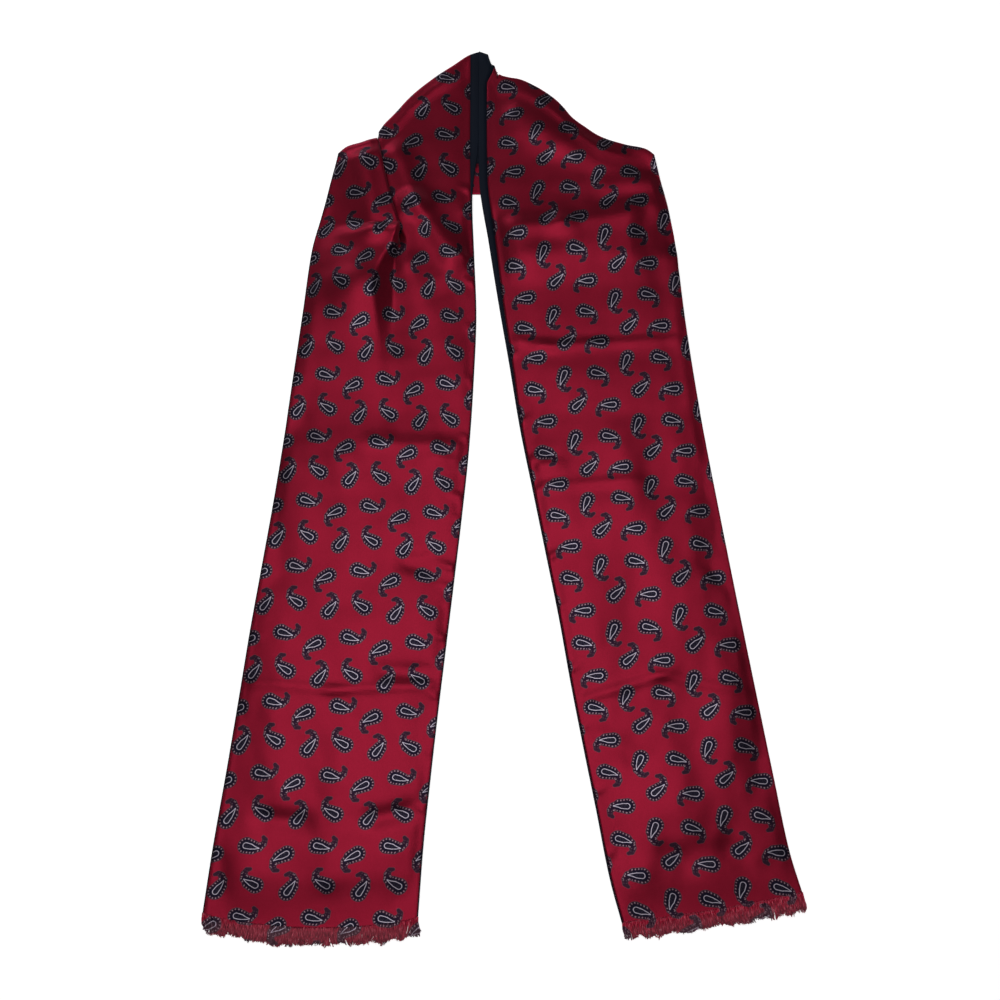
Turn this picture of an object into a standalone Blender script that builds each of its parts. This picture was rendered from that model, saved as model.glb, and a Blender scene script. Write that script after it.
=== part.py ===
"""A long lined silk scarf, laid flat: the neck part lies underneath, and both tails come down over it.

Run with: blender --background --python part.py
Lengths are in millimetres here and become metres in the meshes. X is right, Y is up the laid scarf and Z is up.
Cloth places are (u, v): u runs across from a tail's inner edge, v runs up the tail from its fringed end.
"""
import math

import bmesh
import bpy
import numpy as np
from mathutils import Matrix, Vector

MM = 0.001
CLOTH_WIDTH = 182.0             # finished width of the silk and of the lining
WALL = 1.0                      # thickness of the silk wall and of the lining wall
SEAM = 0.3                      # gap between pieces that meet
LAYER = WALL / 2 + SEAM / 2     # from the cloth's middle to the middle of either wall
HALF = WALL + SEAM / 2          # half the thickness of the two walls together
FLOOR = HALF                    # height of the cloth's middle where it lies on the floor
OVER_NECK = 2 * HALF + SEAM     # how much higher the tails lie on the neck part
NECK_EDGE = 311.6               # Y of the neck part's lower edge
STEP_START = NECK_EDGE - 34.0   # the tails rise over the neck part from here
STEP_END = NECK_EDGE - 11.0
BULGE = 26.0                    # the cloth swells up to its turned top over this length
CENTRE = (1.8, 38.5)             # middle of the laid scarf, taken off so that the part stands on its origin

FRINGE_LENGTH = 12.0
FRINGE_STRANDS = 104            # at each end
FRINGE_RADIUS = 0.6
FRINGE_TIP_RADIUS = 0.35
FRINGE_TIP_HEIGHT = 0.7         # the strands sink to this height at their tips
FRINGE_LEAN = 9.0               # they lean this many degrees at most
BACKING_DEPTH = 2.0             # the narrow strip that the strands are fused into
BACKING_HEIGHT = 1.8


def table(names, *rows):
    """Rows of numbers under named columns."""
    return dict(zip(names.split(), np.array(rows, float).T))


# Outline of each tail as measured in the photo: inner and outer edge at stations one print repeat (62.6) apart.
# The lining is turned over the inner edge by peek.
LEFT_SECTIONS = table(
    "v      x_in    y_in     x_out    y_out   peek",
    (0.0, -75.5, -375.0, -260.0, -371.5, 2.0),
    (62.6, -67.5, -313.0, -253.5, -313.0, 2.0),
    (125.2, -62.0, -255.5, -245.0, -249.0, 2.0),
    (187.8, -56.0, -198.0, -237.0, -185.0, 2.0),
    (250.4, -49.0, -136.0, -229.5, -122.5, 2.0),
    (313.0, -42.0, -74.0, -221.0, -60.5, 2.0),
    (375.6, -35.5, -15.0, -212.5, 2.0, 2.0),
    (438.2, -29.5, 47.0, -205.0, 64.5, 2.0),
    (500.8, -25.5, 112.0, -198.5, 125.5, 2.0),
    (563.4, -24.5, 182.0, -192.0, 186.5, 2.0),
    (626.0, -26.0, 248.0, -185.5, 250.0, 2.0),
    (688.6, -26.0, 305.5, -171.5, 310.5, 2.6),
    (751.2, -22.0, 374.5, -159.0, 379.5, 9.0),
    (850.0, -22.0, 473.5, -159.0, 478.0, 9.0),
)
RIGHT_SECTIONS = table(
    "v      x_in    y_in     x_out    y_out   peek",
    (0.0, 106.5, -379.5, 263.0, -354.5, 2.0),
    (38.0, 96.5, -342.0, 255.5, -317.5, 2.0),
    (100.6, 85.5, -283.5, 245.0, -255.5, 2.0),
    (163.2, 74.5, -226.5, 235.0, -194.5, 2.0),
    (225.8, 64.0, -170.0, 225.0, -133.0, 2.0),
    (288.4, 54.0, -111.0, 215.0, -70.5, 2.0),
    (351.0, 42.5, -51.5, 205.0, -6.5, 2.0),
    (413.6, 31.0, 7.5, 196.0, 52.5, 2.2),
    (476.2, 19.0, 69.0, 187.5, 114.0, 2.6),
    (538.8, 9.0, 132.5, 180.0, 178.5, 3.8),
    (601.4, -1.0, 193.0, 173.0, 247.5, 5.2),
    (664.0, -11.0, 258.5, 162.0, 311.0, 7.6),
    (726.6, -20.5, 325.5, 156.0, 367.5, 9.0),
    (789.0, -21.5, 387.5, 151.0, 430.0, 9.0),
    (880.0, -21.5, 478.5, 150.0, 521.0, 9.0),
)

# The turned top of each tail: reach is where the outline lies, angle the turned edge's slope in degrees,
# radius the turn's radius, back how far the cloth goes back underneath, slip how much it slides along the edge.
LEFT_TOP = table(
    "u     reach   angle  radius  back  slip",
    (0.0, 845.6, 0.0, 2.2, 4.0, 0.0),
    (8.0, 844.6, 14.0, 2.2, 7.0, 0.6),
    (26.0, 831.6, 34.0, 2.2, 10.0, 1.0),
    (41.0, 820.0, 38.0, 2.2, 10.0, 1.0),
    (67.0, 796.0, 44.0, 2.2, 10.0, 1.0),
    (85.0, 773.2, 50.0, 2.0, 10.0, 1.0),
    (95.0, 761.0, 54.0, 1.9, 10.0, 1.0),
    (99.0, 753.7, 56.0, 1.9, 10.0, 1.0),
    (106.0, 745.0, 40.0, 2.2, 10.0, 1.0),
    (122.0, 737.0, 25.0, 3.0, 10.0, 0.5),
    (137.0, 741.0, 21.0, 4.5, 10.0, 0.3),
    (142.5, 748.0, 21.0, 4.7, 9.0, 0.3),
    (152.0, 745.6, 21.0, 4.6, 9.0, 0.3),
    (160.0, 742.5, 21.0, 4.4, 9.0, 0.4),
    (174.0, 736.5, 21.0, 3.7, 9.0, 0.6),
    (182.0, 729.0, 24.0, 2.6, 9.0, 0.8),
)
RIGHT_TOP = table(
    "u     reach   angle  radius  back  slip",
    (0.0, 870.5, 0.0, 2.0, 4.0, 0.0),
    (10.0, 863.0, 14.0, 2.0, 5.0, 0.3),
    (15.0, 855.0, 22.0, 2.0, 6.0, 0.5),
    (20.5, 840.5, 28.0, 2.0, 7.0, 0.7),
    (30.0, 835.5, 30.0, 2.2, 9.0, 1.0),
    (42.5, 830.9, 32.0, 2.2, 10.0, 1.0),
    (56.0, 821.6, 36.0, 2.2, 10.0, 1.0),
    (80.0, 796.8, 45.0, 2.2, 10.0, 1.0),
    (89.0, 782.4, 44.0, 2.2, 10.0, 1.0),
    (96.0, 769.8, 40.0, 2.3, 10.0, 1.0),
    (110.0, 755.3, 32.0, 2.3, 10.0, 1.0),
    (125.0, 743.0, 27.0, 2.3, 10.0, 1.0),
    (151.0, 730.3, 22.0, 2.3, 10.0, 1.0),
    (172.0, 719.6, 22.0, 2.3, 10.0, 0.9),
    (183.0, 708.0, 26.0, 2.3, 10.0, 0.8),
)

# The left shoulder's pleat lies across the cloth like a Z. It turns back at edge, by the angle turn on the
# radius bend, with depth between its turns, and it dies out down the tail as lift falls to nothing.
LEFT_PLEAT = table(
    "v      edge   turn   bend  depth  lift",
    (0.0, 84.0, 20.0, 50.0, 0.5, 0.0),
    (400.0, 84.0, 20.0, 50.0, 0.5, 0.0),
    (440.0, 84.0, 22.0, 30.0, 0.5, 0.15),
    (480.0, 83.0, 28.0, 17.0, 0.5, 0.55),
    (525.0, 82.0, 44.0, 9.5, 0.5, 1.0),
    (560.0, 80.0, 70.0, 4.8, 0.5, 1.0),
    (590.0, 79.0, 105.0, 2.6, 0.5, 1.0),
    (620.0, 77.5, 150.0, 1.8, 1.5, 1.0),
    (645.0, 77.0, 180.0, 1.7, 4.5, 1.0),
    (688.6, 85.0, 180.0, 1.7, 13.0, 1.0),
    (751.0, 101.0, 180.0, 1.7, 17.5, 1.0),
    (850.0, 101.0, 180.0, 1.7, 17.5, 1.0),
)
PLEAT_CLEAR = 3.0               # the upper layer stays level this far past the turn below it
PLEAT_FALL = 26.0               # and then comes down over this width
PLEAT_SIDE = 1.5                # the cloth that shows beside the pleat ends this far from the upper layer's edge
PLEAT_SHORT = 14.0              # the pleat's hidden layers stop this far short of the turned top
PLEAT_EASE = 8.0                # the swell of the turned top dies away over this width beside the pleat

# Soft ridges of each tail, from (x0, y0) to (x1, y1), with the height at both ends.
LEFT_RIDGES = table(
    "x0     y0     x1     y1    high0  high1  wide",
    (-98.0, 330.0, -95.0, 235.0, 1.5, 5.0, 11.0),
    (-95.0, 235.0, -66.0, 160.0, 5.0, 1.5, 12.0),
    (-50.0, 400.0, -40.0, 240.0, 2.5, 2.5, 13.0),
    (-172.0, 250.0, -196.0, 90.0, 2.0, 1.0, 12.0),
)
RIGHT_RIDGES = table(
    "x0     y0     x1     y1    high0  high1  wide",
    (64.0, 372.0, 44.0, 335.0, 4.5, 5.5, 10.0),
    (44.0, 335.0, 6.0, 296.0, 5.5, 2.5, 12.0),
    (36.0, 240.0, 150.0, 296.0, 2.0, 4.5, 14.0),
    (168.0, 240.0, 186.0, 100.0, 2.5, 1.0, 12.0),
)
RIDGE_FADE = 22.0               # a ridge runs out over this length past its ends
RIDGE_BLEND = 3                 # where ridges meet, the higher one wins

NECK_GAP = 0.5                  # from the neck part's ends to where the tails' turned cloth stops
NECK_TURNED = 9                 # the silk is turned over the neck part's lower edge from this station down
NECK_SHOULDER = 0.22            # share of the neck part's length over which its lower edge comes down
LEFT_NECK_STATIONS = (0.5, 9.0, 22.0, 35.0, 48.0, 61.0, 74.0, 87.0, 98.5, 143.5, 156.0, 169.0, 181.0)
RIGHT_NECK_STATIONS = (0.5, 9.0, 23.3, 37.5, 51.8, 66.1, 80.4, 94.6, 108.9, 123.2, 137.5, 149.0, 158.0)

COLOURS = {
    "silk": (0.36, 0.012, 0.03),
    "lining": (0.008, 0.016, 0.035),
    "fringe": (0.20, 0.035, 0.045),
}


def smooth(t):
    """Ease from 0 to 1."""
    t = np.clip(t, 0.0, 1.0)
    return t * t * (3.0 - 2.0 * t)


def read(rows, column, at):
    """A column's value at places along the table's first column, smooth and without overshoot."""
    keys = next(iter(rows.values()))
    values = rows[column]
    gaps = np.diff(keys)
    slopes = np.diff(values) / gaps
    tangents = np.zeros(len(keys))
    rising = slopes[:-1] * slopes[1:] > 0
    weight_a = 2 * gaps[1:] + gaps[:-1]
    weight_b = gaps[1:] + 2 * gaps[:-1]
    safe_a = np.where(rising, slopes[:-1], 1.0)
    safe_b = np.where(rising, slopes[1:], 1.0)
    mean = (weight_a + weight_b) / (weight_a / safe_a + weight_b / safe_b)
    tangents[1:-1] = np.where(rising, mean, 0.0)
    tangents[0] = slopes[0]
    tangents[-1] = slopes[-1]
    at = np.asarray(at, float)
    cell = np.clip(np.searchsorted(keys, at, side="right") - 1, 0, len(gaps) - 1)
    step = gaps[cell]
    t = (at - keys[cell]) / step
    inside = np.clip(t, 0.0, 1.0)
    result = (values[cell] * (1 + 2 * inside) * (1 - inside) ** 2
              + tangents[cell] * step * inside * (1 - inside) ** 2
              + values[cell + 1] * inside ** 2 * (3 - 2 * inside)
              + tangents[cell + 1] * step * inside ** 2 * (inside - 1))
    before = np.minimum(t, 0.0) * step * tangents[0]
    after = np.maximum(t - 1.0, 0.0) * step * tangents[-1]
    return result + before + after


def pleat_stops(tail, v):
    """The four places across the cloth where the pleat's two turns start and end."""
    turn = np.radians(read(tail["pleat"], "turn", v))
    bend = read(tail["pleat"], "bend", v)
    depth = read(tail["pleat"], "depth", v)
    first = read(tail["pleat"], "edge", v) + depth
    return first, first + bend * turn, first + bend * turn + depth, first + 2 * bend * turn + depth


def pleat_hides(tail, u, v):
    """Whether a place lies under the pleat's upper layer."""
    if tail["pleat"] is None:
        return np.zeros(np.shape(u), bool)
    upper_layer = pleat_stops(tail, v)[3]
    return (u > read(tail["pleat"], "edge", v) - PLEAT_SIDE / 2) & (u < upper_layer - PLEAT_SIDE / 2)


def pleat_swell(tail, u, v):
    """How much of the turned top's swell a place takes: none of it in the pleat's hidden layers."""
    if tail["pleat"] is None:
        return np.ones(np.shape(u))
    below = 1 - smooth((u - read(tail["pleat"], "edge", v) + PLEAT_SIDE) / PLEAT_EASE)
    above = smooth((u - pleat_stops(tail, v)[3]) / PLEAT_EASE)
    return below + above


def pleat_short(tail, u, v):
    """How far short of the turned top a place's cloth stops."""
    if tail["pleat"] is None:
        return np.zeros(np.shape(u))
    _, _, third, fourth = pleat_stops(tail, v)
    inside = (u > read(tail["pleat"], "edge", v) - PLEAT_SIDE / 2) & (u < (third + fourth) / 2 - SEAM)
    return PLEAT_SHORT * inside


def pleat_section(tail, u, v):
    """Where a place across the cloth comes to lie: the way across the section, and the height."""
    if tail["pleat"] is None:
        return u, np.zeros_like(u)
    turn = np.radians(read(tail["pleat"], "turn", v))
    bend = read(tail["pleat"], "bend", v)
    lift = read(tail["pleat"], "lift", v)
    first, second, third, fourth = pleat_stops(tail, v)
    up = np.clip((u - first) / bend, 0.0, turn)
    straight = np.clip(u - second, 0.0, third - second)
    down = np.clip((u - third) / bend, 0.0, turn)
    across = (np.minimum(u, first) + bend * np.sin(up) + straight * np.cos(turn)
              + bend * (np.sin(turn) - np.sin(turn - down)) + np.maximum(u - fourth, 0.0))
    high = bend * (1 - np.cos(up)) + straight * np.sin(turn) + bend * (np.cos(turn - down) - np.cos(turn))
    depth = third - second
    fall = smooth((u - fourth - depth - PLEAT_CLEAR) / PLEAT_FALL)
    return u + (across - u) * smooth(lift * 2), high * lift * (1 - fall)


def tail_width(tail, v):
    """Width of the flattened tail in the cloth's own measure."""
    if tail["pleat"] is not None:
        return np.full_like(np.asarray(v, float), CLOTH_WIDTH)
    sections = tail["sections"]
    return np.hypot(read(sections, "x_out", v) - read(sections, "x_in", v),
                    read(sections, "y_out", v) - read(sections, "y_in", v))


def ridges(rows, x, y):
    """Height of the soft ridges at places in plan."""
    total = np.zeros_like(x)
    for x0, y0, x1, y1, high0, high1, wide in zip(*rows.values()):
        length = math.hypot(x1 - x0, y1 - y0)
        along = ((x - x0) * (x1 - x0) + (y - y0) * (y1 - y0)) / length
        off = ((x - x0) * (y1 - y0) - (y - y0) * (x1 - x0)) / length
        past = np.maximum(-along, along - length)
        share = np.clip(along / length, 0.0, 1.0)
        height = (high0 + (high1 - high0) * share) * np.exp(-(off / wide) ** 2) * (1 - smooth(past / RIDGE_FADE))
        total += height ** RIDGE_BLEND
    return total ** (1 / RIDGE_BLEND)


def laid(tail, u, v):
    """The cloth's middle as it lies, before its top is turned under."""
    sections = tail["sections"]
    across, high = pleat_section(tail, u, v)
    edge = np.full_like(u, 1.0) * tail_width(tail, v)
    whole, _ = pleat_section(tail, edge, v)
    share = across / whole
    x_in = read(sections, "x_in", v)
    y_in = read(sections, "y_in", v)
    x = x_in + (read(sections, "x_out", v) - x_in) * share
    y = y_in + (read(sections, "y_out", v) - y_in) * share
    z = FLOOR + OVER_NECK * smooth((y - STEP_START) / (STEP_END - STEP_START)) + high + ridges(tail["ridges"], x, y)
    return np.stack([x, y, z], -1)


def outward(tail, u):
    """Plan direction out of the turned top edge."""
    angle = np.radians(read(tail["top"], "angle", u))
    return np.stack([tail["side"] * np.sin(angle), np.cos(angle)], -1)


def turn_start(tail, u):
    """Where along the cloth its top starts to turn under, and the cloth's direction there."""
    reach = read(tail["top"], "reach", u)
    direction = (laid(tail, u, reach) - laid(tail, u, reach - 1.0))[..., :2]
    direction /= np.linalg.norm(direction, axis=-1, keepdims=True)
    facing = np.sum(direction * outward(tail, u), -1)
    return reach - read(tail["top"], "radius", u) / facing, direction, facing


def cloth(tail, u, v):
    """The cloth's middle, with its top turned under."""
    u, v = np.broadcast_arrays(np.asarray(u, float), np.asarray(v, float))
    start, direction, facing = turn_start(tail, u)
    radius = read(tail["top"], "radius", u)
    normal = outward(tail, u)
    edge = np.stack([normal[..., 1], -normal[..., 0]], -1)
    flat = laid(tail, u, np.minimum(v, start))
    swell = smooth(1 - (start - v) / BULGE) * pleat_swell(tail, u, np.minimum(v, start))
    top = FLOOR + 2 * radius
    flat[..., 2] += (top - laid(tail, u, start)[..., 2]) * swell
    over = np.maximum(v - start, 0.0)
    run = over * facing
    bent = np.minimum(run / radius, math.pi)
    slide = over * read(tail["top"], "slip", u) * np.sum(direction * edge, -1)
    ahead = radius * np.sin(bent) - np.maximum(run - math.pi * radius, 0.0)
    flat[..., :2] += normal * ahead[..., None] + edge * slide[..., None]
    flat[..., 2] -= radius * (1 - np.cos(bent))
    return flat


def wall_points(tail, u, v, around):
    """Middle of a wall, beside the cloth's middle: around is 0 above it and 180 below, round the nearer edge."""
    across = cloth(tail, u + NUDGE, v) - cloth(tail, u - NUDGE, v)
    along = cloth(tail, u, v + NUDGE) - cloth(tail, u, v - NUDGE)
    normal = np.cross(across, along) * tail["side"]
    normal /= np.linalg.norm(normal, axis=-1, keepdims=True)
    across -= normal * np.sum(across * normal, -1, keepdims=True)
    across /= np.linalg.norm(across, axis=-1, keepdims=True)
    across *= np.where(u > CLOTH_WIDTH / 2, 1.0, -1.0)[..., None]
    angle = np.radians(np.broadcast_to(around, np.shape(u)))[..., None]
    return cloth(tail, u, v) + LAYER * (np.cos(angle) * normal + np.sin(angle) * across)


LEFT = {
    "side": -1, "sections": LEFT_SECTIONS, "top": LEFT_TOP, "pleat": LEFT_PLEAT, "ridges": LEFT_RIDGES,
    "rows": (0, 55, 110, 165, 220, 275, 330, 380, 415, 440, 462, 484, 506, 526, 546, 566, 586, 604, 620, 634, 646, 656),
}
RIGHT = {
    "side": 1, "sections": RIGHT_SECTIONS, "top": RIGHT_TOP, "pleat": None, "ridges": RIGHT_RIDGES,
    "rows": (0, 60, 120, 180, 240, 300, 360, 420, 475, 520, 555, 585, 612, 636, 655),
}
FAN = (0.07, 0.14, 0.22, 0.31, 0.41, 0.52, 0.63, 0.74, 0.84, 0.92, 1.0)   # rows from the last one to the turn
TURN_STEPS = 6                  # rows round the turned top
EDGE_ANGLES = (0.0, 60.0, 120.0, 180.0)     # round a turned long edge
PLAIN_CELLS = 11                # cells across a tail with no pleat
BESIDE_CELLS = 7                # cells from the inner edge to the pleat
LEAD_CELLS = 2                  # from there to the pleat's first turn
CURVE_CELLS = 4                 # round each of the pleat's turns
STRAIGHT_CELLS = 2              # between its turns
OUTER_CELLS = 4                 # from its second turn to the outer edge
NECK_CELLS = 10                 # cells along the neck part
NUDGE = 0.05                    # length over which the cloth's slope is taken
NUDGE_SHARE = 0.01


def spread(start, end, count):
    """Places from start up to but not at end."""
    return [start + (end - start) * i / count for i in range(count)]


def turned_end(tail, v):
    """Where across the tail the silk's turned edge meets the lining underneath."""
    width = tail_width(tail, v)
    if tail["pleat"] is not None:
        return width
    return width - (CLOTH_WIDTH - (width - read(tail["sections"], "peek", v)))


def shared_places(tail, v):
    """Places across rows where silk lies over lining, closer together in the pleat's turns."""
    peek = read(tail["sections"], "peek", v)
    end = turned_end(tail, v)
    if tail["pleat"] is None:
        return spread(peek, end, PLAIN_CELLS) + [end]
    edge = read(tail["pleat"], "edge", v) - PLEAT_SIDE
    first, second, third, fourth = pleat_stops(tail, v)
    return (spread(peek, edge, BESIDE_CELLS) + spread(edge, first, LEAD_CELLS)
            + spread(first, second, CURVE_CELLS) + spread(second, third, STRAIGHT_CELLS)
            + spread(third, fourth, CURVE_CELLS) + spread(fourth, end, OUTER_CELLS) + [end])


def silk_row(tail, v):
    """Places and angles of the silk across rows: over the top, and round under a turned outer edge."""
    places = shared_places(tail, v)
    angles = [0.0] * len(places)
    if tail["pleat"] is None:
        end = places[-1]
        outer = tail_width(tail, v) - HALF
        middle = (end + outer) / 2
        places += [middle] + [outer] * len(EDGE_ANGLES) + [middle, end]
        angles += [0.0] + list(EDGE_ANGLES) + [180.0, 180.0]
    return np.stack(places, -1), angles


def lining_row(tail, v):
    """Places and angles of the lining across rows: underneath, and round over the inner edge."""
    places = shared_places(tail, v)
    if tail["pleat"] is None:
        places[-1] = places[-1] - SEAM
    inner = np.full_like(places[0], HALF)
    angles = [0.0] + list(EDGE_ANGLES) + [180.0] * len(places)
    places = [places[0] - SEAM] + [inner] * len(EDGE_ANGLES) + places
    return np.stack(places, -1), angles


def tail_surface(tail, row_function):
    """Middle surface of one tail's wall as rows of points, and which cells are cloth."""
    rows = []
    kinds = []
    last = tail["rows"][-1]
    stages = [("straight", v) for v in tail["rows"]] + [("fan", share) for share in FAN]
    stages += [("turn", i / TURN_STEPS) for i in range(1, TURN_STEPS + 1)] + [("back", 0.5), ("back", 1.0)]
    for kind, amount in stages:
        base = amount if kind == "straight" else last
        places, around = row_function(tail, np.array([float(base)]))
        u = places[0]
        v = np.full(len(u), float(base))
        if kind != "straight":
            for _ in range(4):
                start, _, facing = turn_start(tail, u)
                radius = read(tail["top"], "radius", u)
                if kind == "fan":
                    v = last + (start - pleat_short(tail, u, v) - last) * amount
                elif kind == "turn":
                    v = start + amount * math.pi * radius / facing
                else:
                    v = start + (math.pi * radius + amount * read(tail["top"], "back", u)) / facing
                u = np.diagonal(row_function(tail, np.minimum(v, start))[0])
        rows.append(wall_points(tail, u, v, np.array(around)))
        kinds.append(kind)
        hidden = pleat_hides(tail, u, np.minimum(v, turn_start(tail, u)[0]))
    cells = []
    for i in range(len(rows) - 1):
        for j in range(len(rows[0]) - 1):
            if kinds[i + 1] in ("straight", "fan") or not (hidden[j] or hidden[j + 1]):
                cells.append((i, j))
    return np.array(rows), cells


def neck_ends():
    """Plan points along the neck part's two ends, just clear of where the tails' turned cloth stops."""
    ends = []
    for tail, stations in ((LEFT, LEFT_NECK_STATIONS), (RIGHT, RIGHT_NECK_STATIONS)):
        u = np.array(stations)
        start, _, facing = turn_start(tail, u)
        radius = read(tail["top"], "radius", u)
        end = cloth(tail, u, start + (math.pi * radius + read(tail["top"], "back", u)) / facing)
        ends.append(end[..., :2] - outward(tail, u) * NECK_GAP)
    return ends


def neck_point(neck, share, way):
    """The neck part's middle in plan: share runs from its upper to its lower edge, way from left to right."""
    ends = []
    for end in neck:
        stations = np.linspace(0.0, 1.0, len(end))
        ends.append(np.stack([np.interp(share, stations, end[:, axis]) for axis in (0, 1)], -1))
    point = ends[0] + (ends[1] - ends[0]) * way[..., None]
    low = ends[0][..., 1] + (ends[1] - ends[0])[..., 1] * way
    drop = smooth(way / NECK_SHOULDER) * smooth((1 - way) / NECK_SHOULDER)
    point[..., 1] -= (low - NECK_EDGE - HALF) * drop * share ** 2
    return point


def neck_surface(neck, shares, angles, ways):
    """Middle surface of one of the neck part's walls, as rows of points from left to right."""
    rows = []
    for way in ways:
        share = np.array(shares)
        at = np.full(len(shares), way)
        plan = neck_point(neck, share, at)
        low = neck_point(neck, np.minimum(share + NUDGE_SHARE, 1.0), at)
        low -= neck_point(neck, np.maximum(share - NUDGE_SHARE, 0.0), at)
        low /= np.linalg.norm(low, axis=-1, keepdims=True)
        angle = np.radians(angles)
        plan = plan + low * (LAYER * np.sin(angle))[:, None]
        rows.append(np.column_stack([plan, FLOOR + LAYER * np.cos(angle)]))
    return np.array(rows)


def material(name):
    made = bpy.data.materials.new(name)
    made.use_nodes = True
    surface = made.node_tree.nodes["Principled BSDF"]
    surface.inputs["Base Color"].default_value = (*COLOURS[name], 1.0)
    surface.inputs["Roughness"].default_value = 0.45 if name == "silk" else 0.85
    surface.inputs["Metallic"].default_value = 0.0
    return made


def add_object(name, mesh, look, collection):
    made = bpy.data.objects.new(name, mesh)
    made.data.materials.append(look)
    collection.objects.link(made)
    return made


def add_wall(name, points, cells, look, collection):
    """A cloth wall: an open surface through the sections, thickened to both sides."""
    count = points.shape[1]
    plan = points.reshape(-1, 3) - np.array([*CENTRE, 0.0])
    faces = []
    for i, j in cells:
        near, far = i * count + j, (i + 1) * count + j
        faces += [(near, near + 1, far + 1), (near, far + 1, far)]
    used = sorted({corner for face in faces for corner in face})
    order = {old: new for new, old in enumerate(used)}
    mesh = bpy.data.meshes.new(name)
    mesh.from_pydata((plan[used] * MM).tolist(), [], [[order[corner] for corner in face] for face in faces])
    mesh.update()
    made = add_object(name, mesh, look, collection)
    solidify = made.modifiers.new("wall", "SOLIDIFY")
    solidify.thickness = WALL * MM
    solidify.offset = 0.0
    mesh.shade_smooth()
    return made


def all_cells(points):
    return [(i, j) for i in range(points.shape[0] - 1) for j in range(points.shape[1] - 1)]


def strand_wave(i):
    """A slow, uneven wave along the fringe, from -1 to 1, so that neighbours lean and run alike."""
    return (math.sin(0.31 * i) + math.sin(0.137 * i + 1.3) + math.sin(0.53 * i + 0.7)) / 3


def add_fringe(name, tail, look, collection):
    """One end's fringe: strands side by side, their roots fused into a narrow strip beside the cloth's end."""
    width = tail_width(tail, 0.0)
    ends = laid(tail, np.array([0.0, float(width)]), np.zeros(2))[:, :2] - np.array(CENTRE)
    length = float(np.linalg.norm(ends[1] - ends[0]))
    along = (ends[1] - ends[0]) / length
    out = np.array([along[1], -along[0]]) * tail["side"]
    root = ends[0] + out * (SEAM + BACKING_DEPTH / 2)

    bpy.ops.mesh.primitive_cube_add(size=1.0)
    strip = bpy.context.object
    strip.name = name
    strip.data.name = name
    for point in strip.data.vertices:
        place = root + along * (point.co.x + 0.5) * length + out * point.co.y * BACKING_DEPTH
        point.co = (place[0] * MM, place[1] * MM, (FLOOR + point.co.z * BACKING_HEIGHT) * MM)
    if tail["side"] < 0:
        strip.data.flip_normals()
    strip.data.materials.append(look)

    strands = bmesh.new()
    pitch = length / FRINGE_STRANDS
    for i in range(FRINGE_STRANDS):
        wave = strand_wave(i if tail["side"] > 0 else i + 40)
        lean = math.radians(FRINGE_LEAN) * wave
        reach = FRINGE_LENGTH * (1 + 0.12 * strand_wave(3 * i))
        first = root + along * (i + 0.5) * pitch
        last = first + (out * math.cos(lean) + along * math.sin(lean)) * reach
        start = Vector((first[0], first[1], FLOOR)) * MM
        end = Vector((last[0], last[1], FRINGE_TIP_HEIGHT)) * MM
        turn = (end - start).to_track_quat("Z", "Y").to_matrix().to_4x4()
        place = Matrix.Translation((start + end) / 2) @ turn
        bmesh.ops.create_cone(strands, cap_ends=True, segments=3, radius1=FRINGE_RADIUS * MM,
                              radius2=FRINGE_TIP_RADIUS * MM, depth=(end - start).length, matrix=place)
    mesh = bpy.data.meshes.new(name + "_strands")
    strands.to_mesh(mesh)
    strands.free()
    cutter = bpy.data.objects.new(name + "_strands", mesh)
    cutter.hide_render = True
    cutter.display_type = "WIRE"
    cutters = bpy.data.collections.get("joined_strands")
    cutters.objects.link(cutter)
    union = strip.modifiers.new("strands", "BOOLEAN")
    union.operation = "UNION"
    union.object = cutter
    for owner in list(strip.users_collection):
        owner.objects.unlink(strip)
    collection.objects.link(strip)


def main():
    for old in list(bpy.data.objects):
        bpy.data.objects.remove(old, do_unlink=True)
    scarf = bpy.data.collections.new("silk_scarf")
    bpy.context.scene.collection.children.link(scarf)
    silk = material("silk")
    lining = material("lining")
    for side, tail in (("left", LEFT), ("right", RIGHT)):
        add_wall(f"silk_{side}_tail", *tail_surface(tail, silk_row), silk, scarf)
        add_wall(f"lining_{side}_tail", *tail_surface(tail, lining_row), lining, scarf)
    ways = np.linspace(0.0, 1.0, NECK_CELLS + 1)
    neck = neck_ends()
    shares = list(np.linspace(0.0, 1.0, len(LEFT_NECK_STATIONS)))
    over = shares[:NECK_TURNED:-1] + [shares[NECK_TURNED] + SEAM / CLOTH_WIDTH]
    silk_neck = neck_surface(neck, shares + [1.0, 1.0] + over,
                             [180.0] * len(shares) + [120.0, 60.0] + [0.0] * len(over), ways)
    lining_neck = neck_surface(neck, shares[:NECK_TURNED + 1], [0.0] * (NECK_TURNED + 1), ways)
    add_wall("silk_neck", silk_neck, all_cells(silk_neck), silk, scarf)
    add_wall("lining_neck", lining_neck, all_cells(lining_neck), lining, scarf)
    threads = material("fringe")
    cutters = bpy.data.collections.new("joined_strands")
    bpy.context.scene.collection.children.link(cutters)
    add_fringe("fringe_left_end", LEFT, threads, scarf)
    add_fringe("fringe_right_end", RIGHT, threads, scarf)


main()
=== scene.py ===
import math

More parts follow.
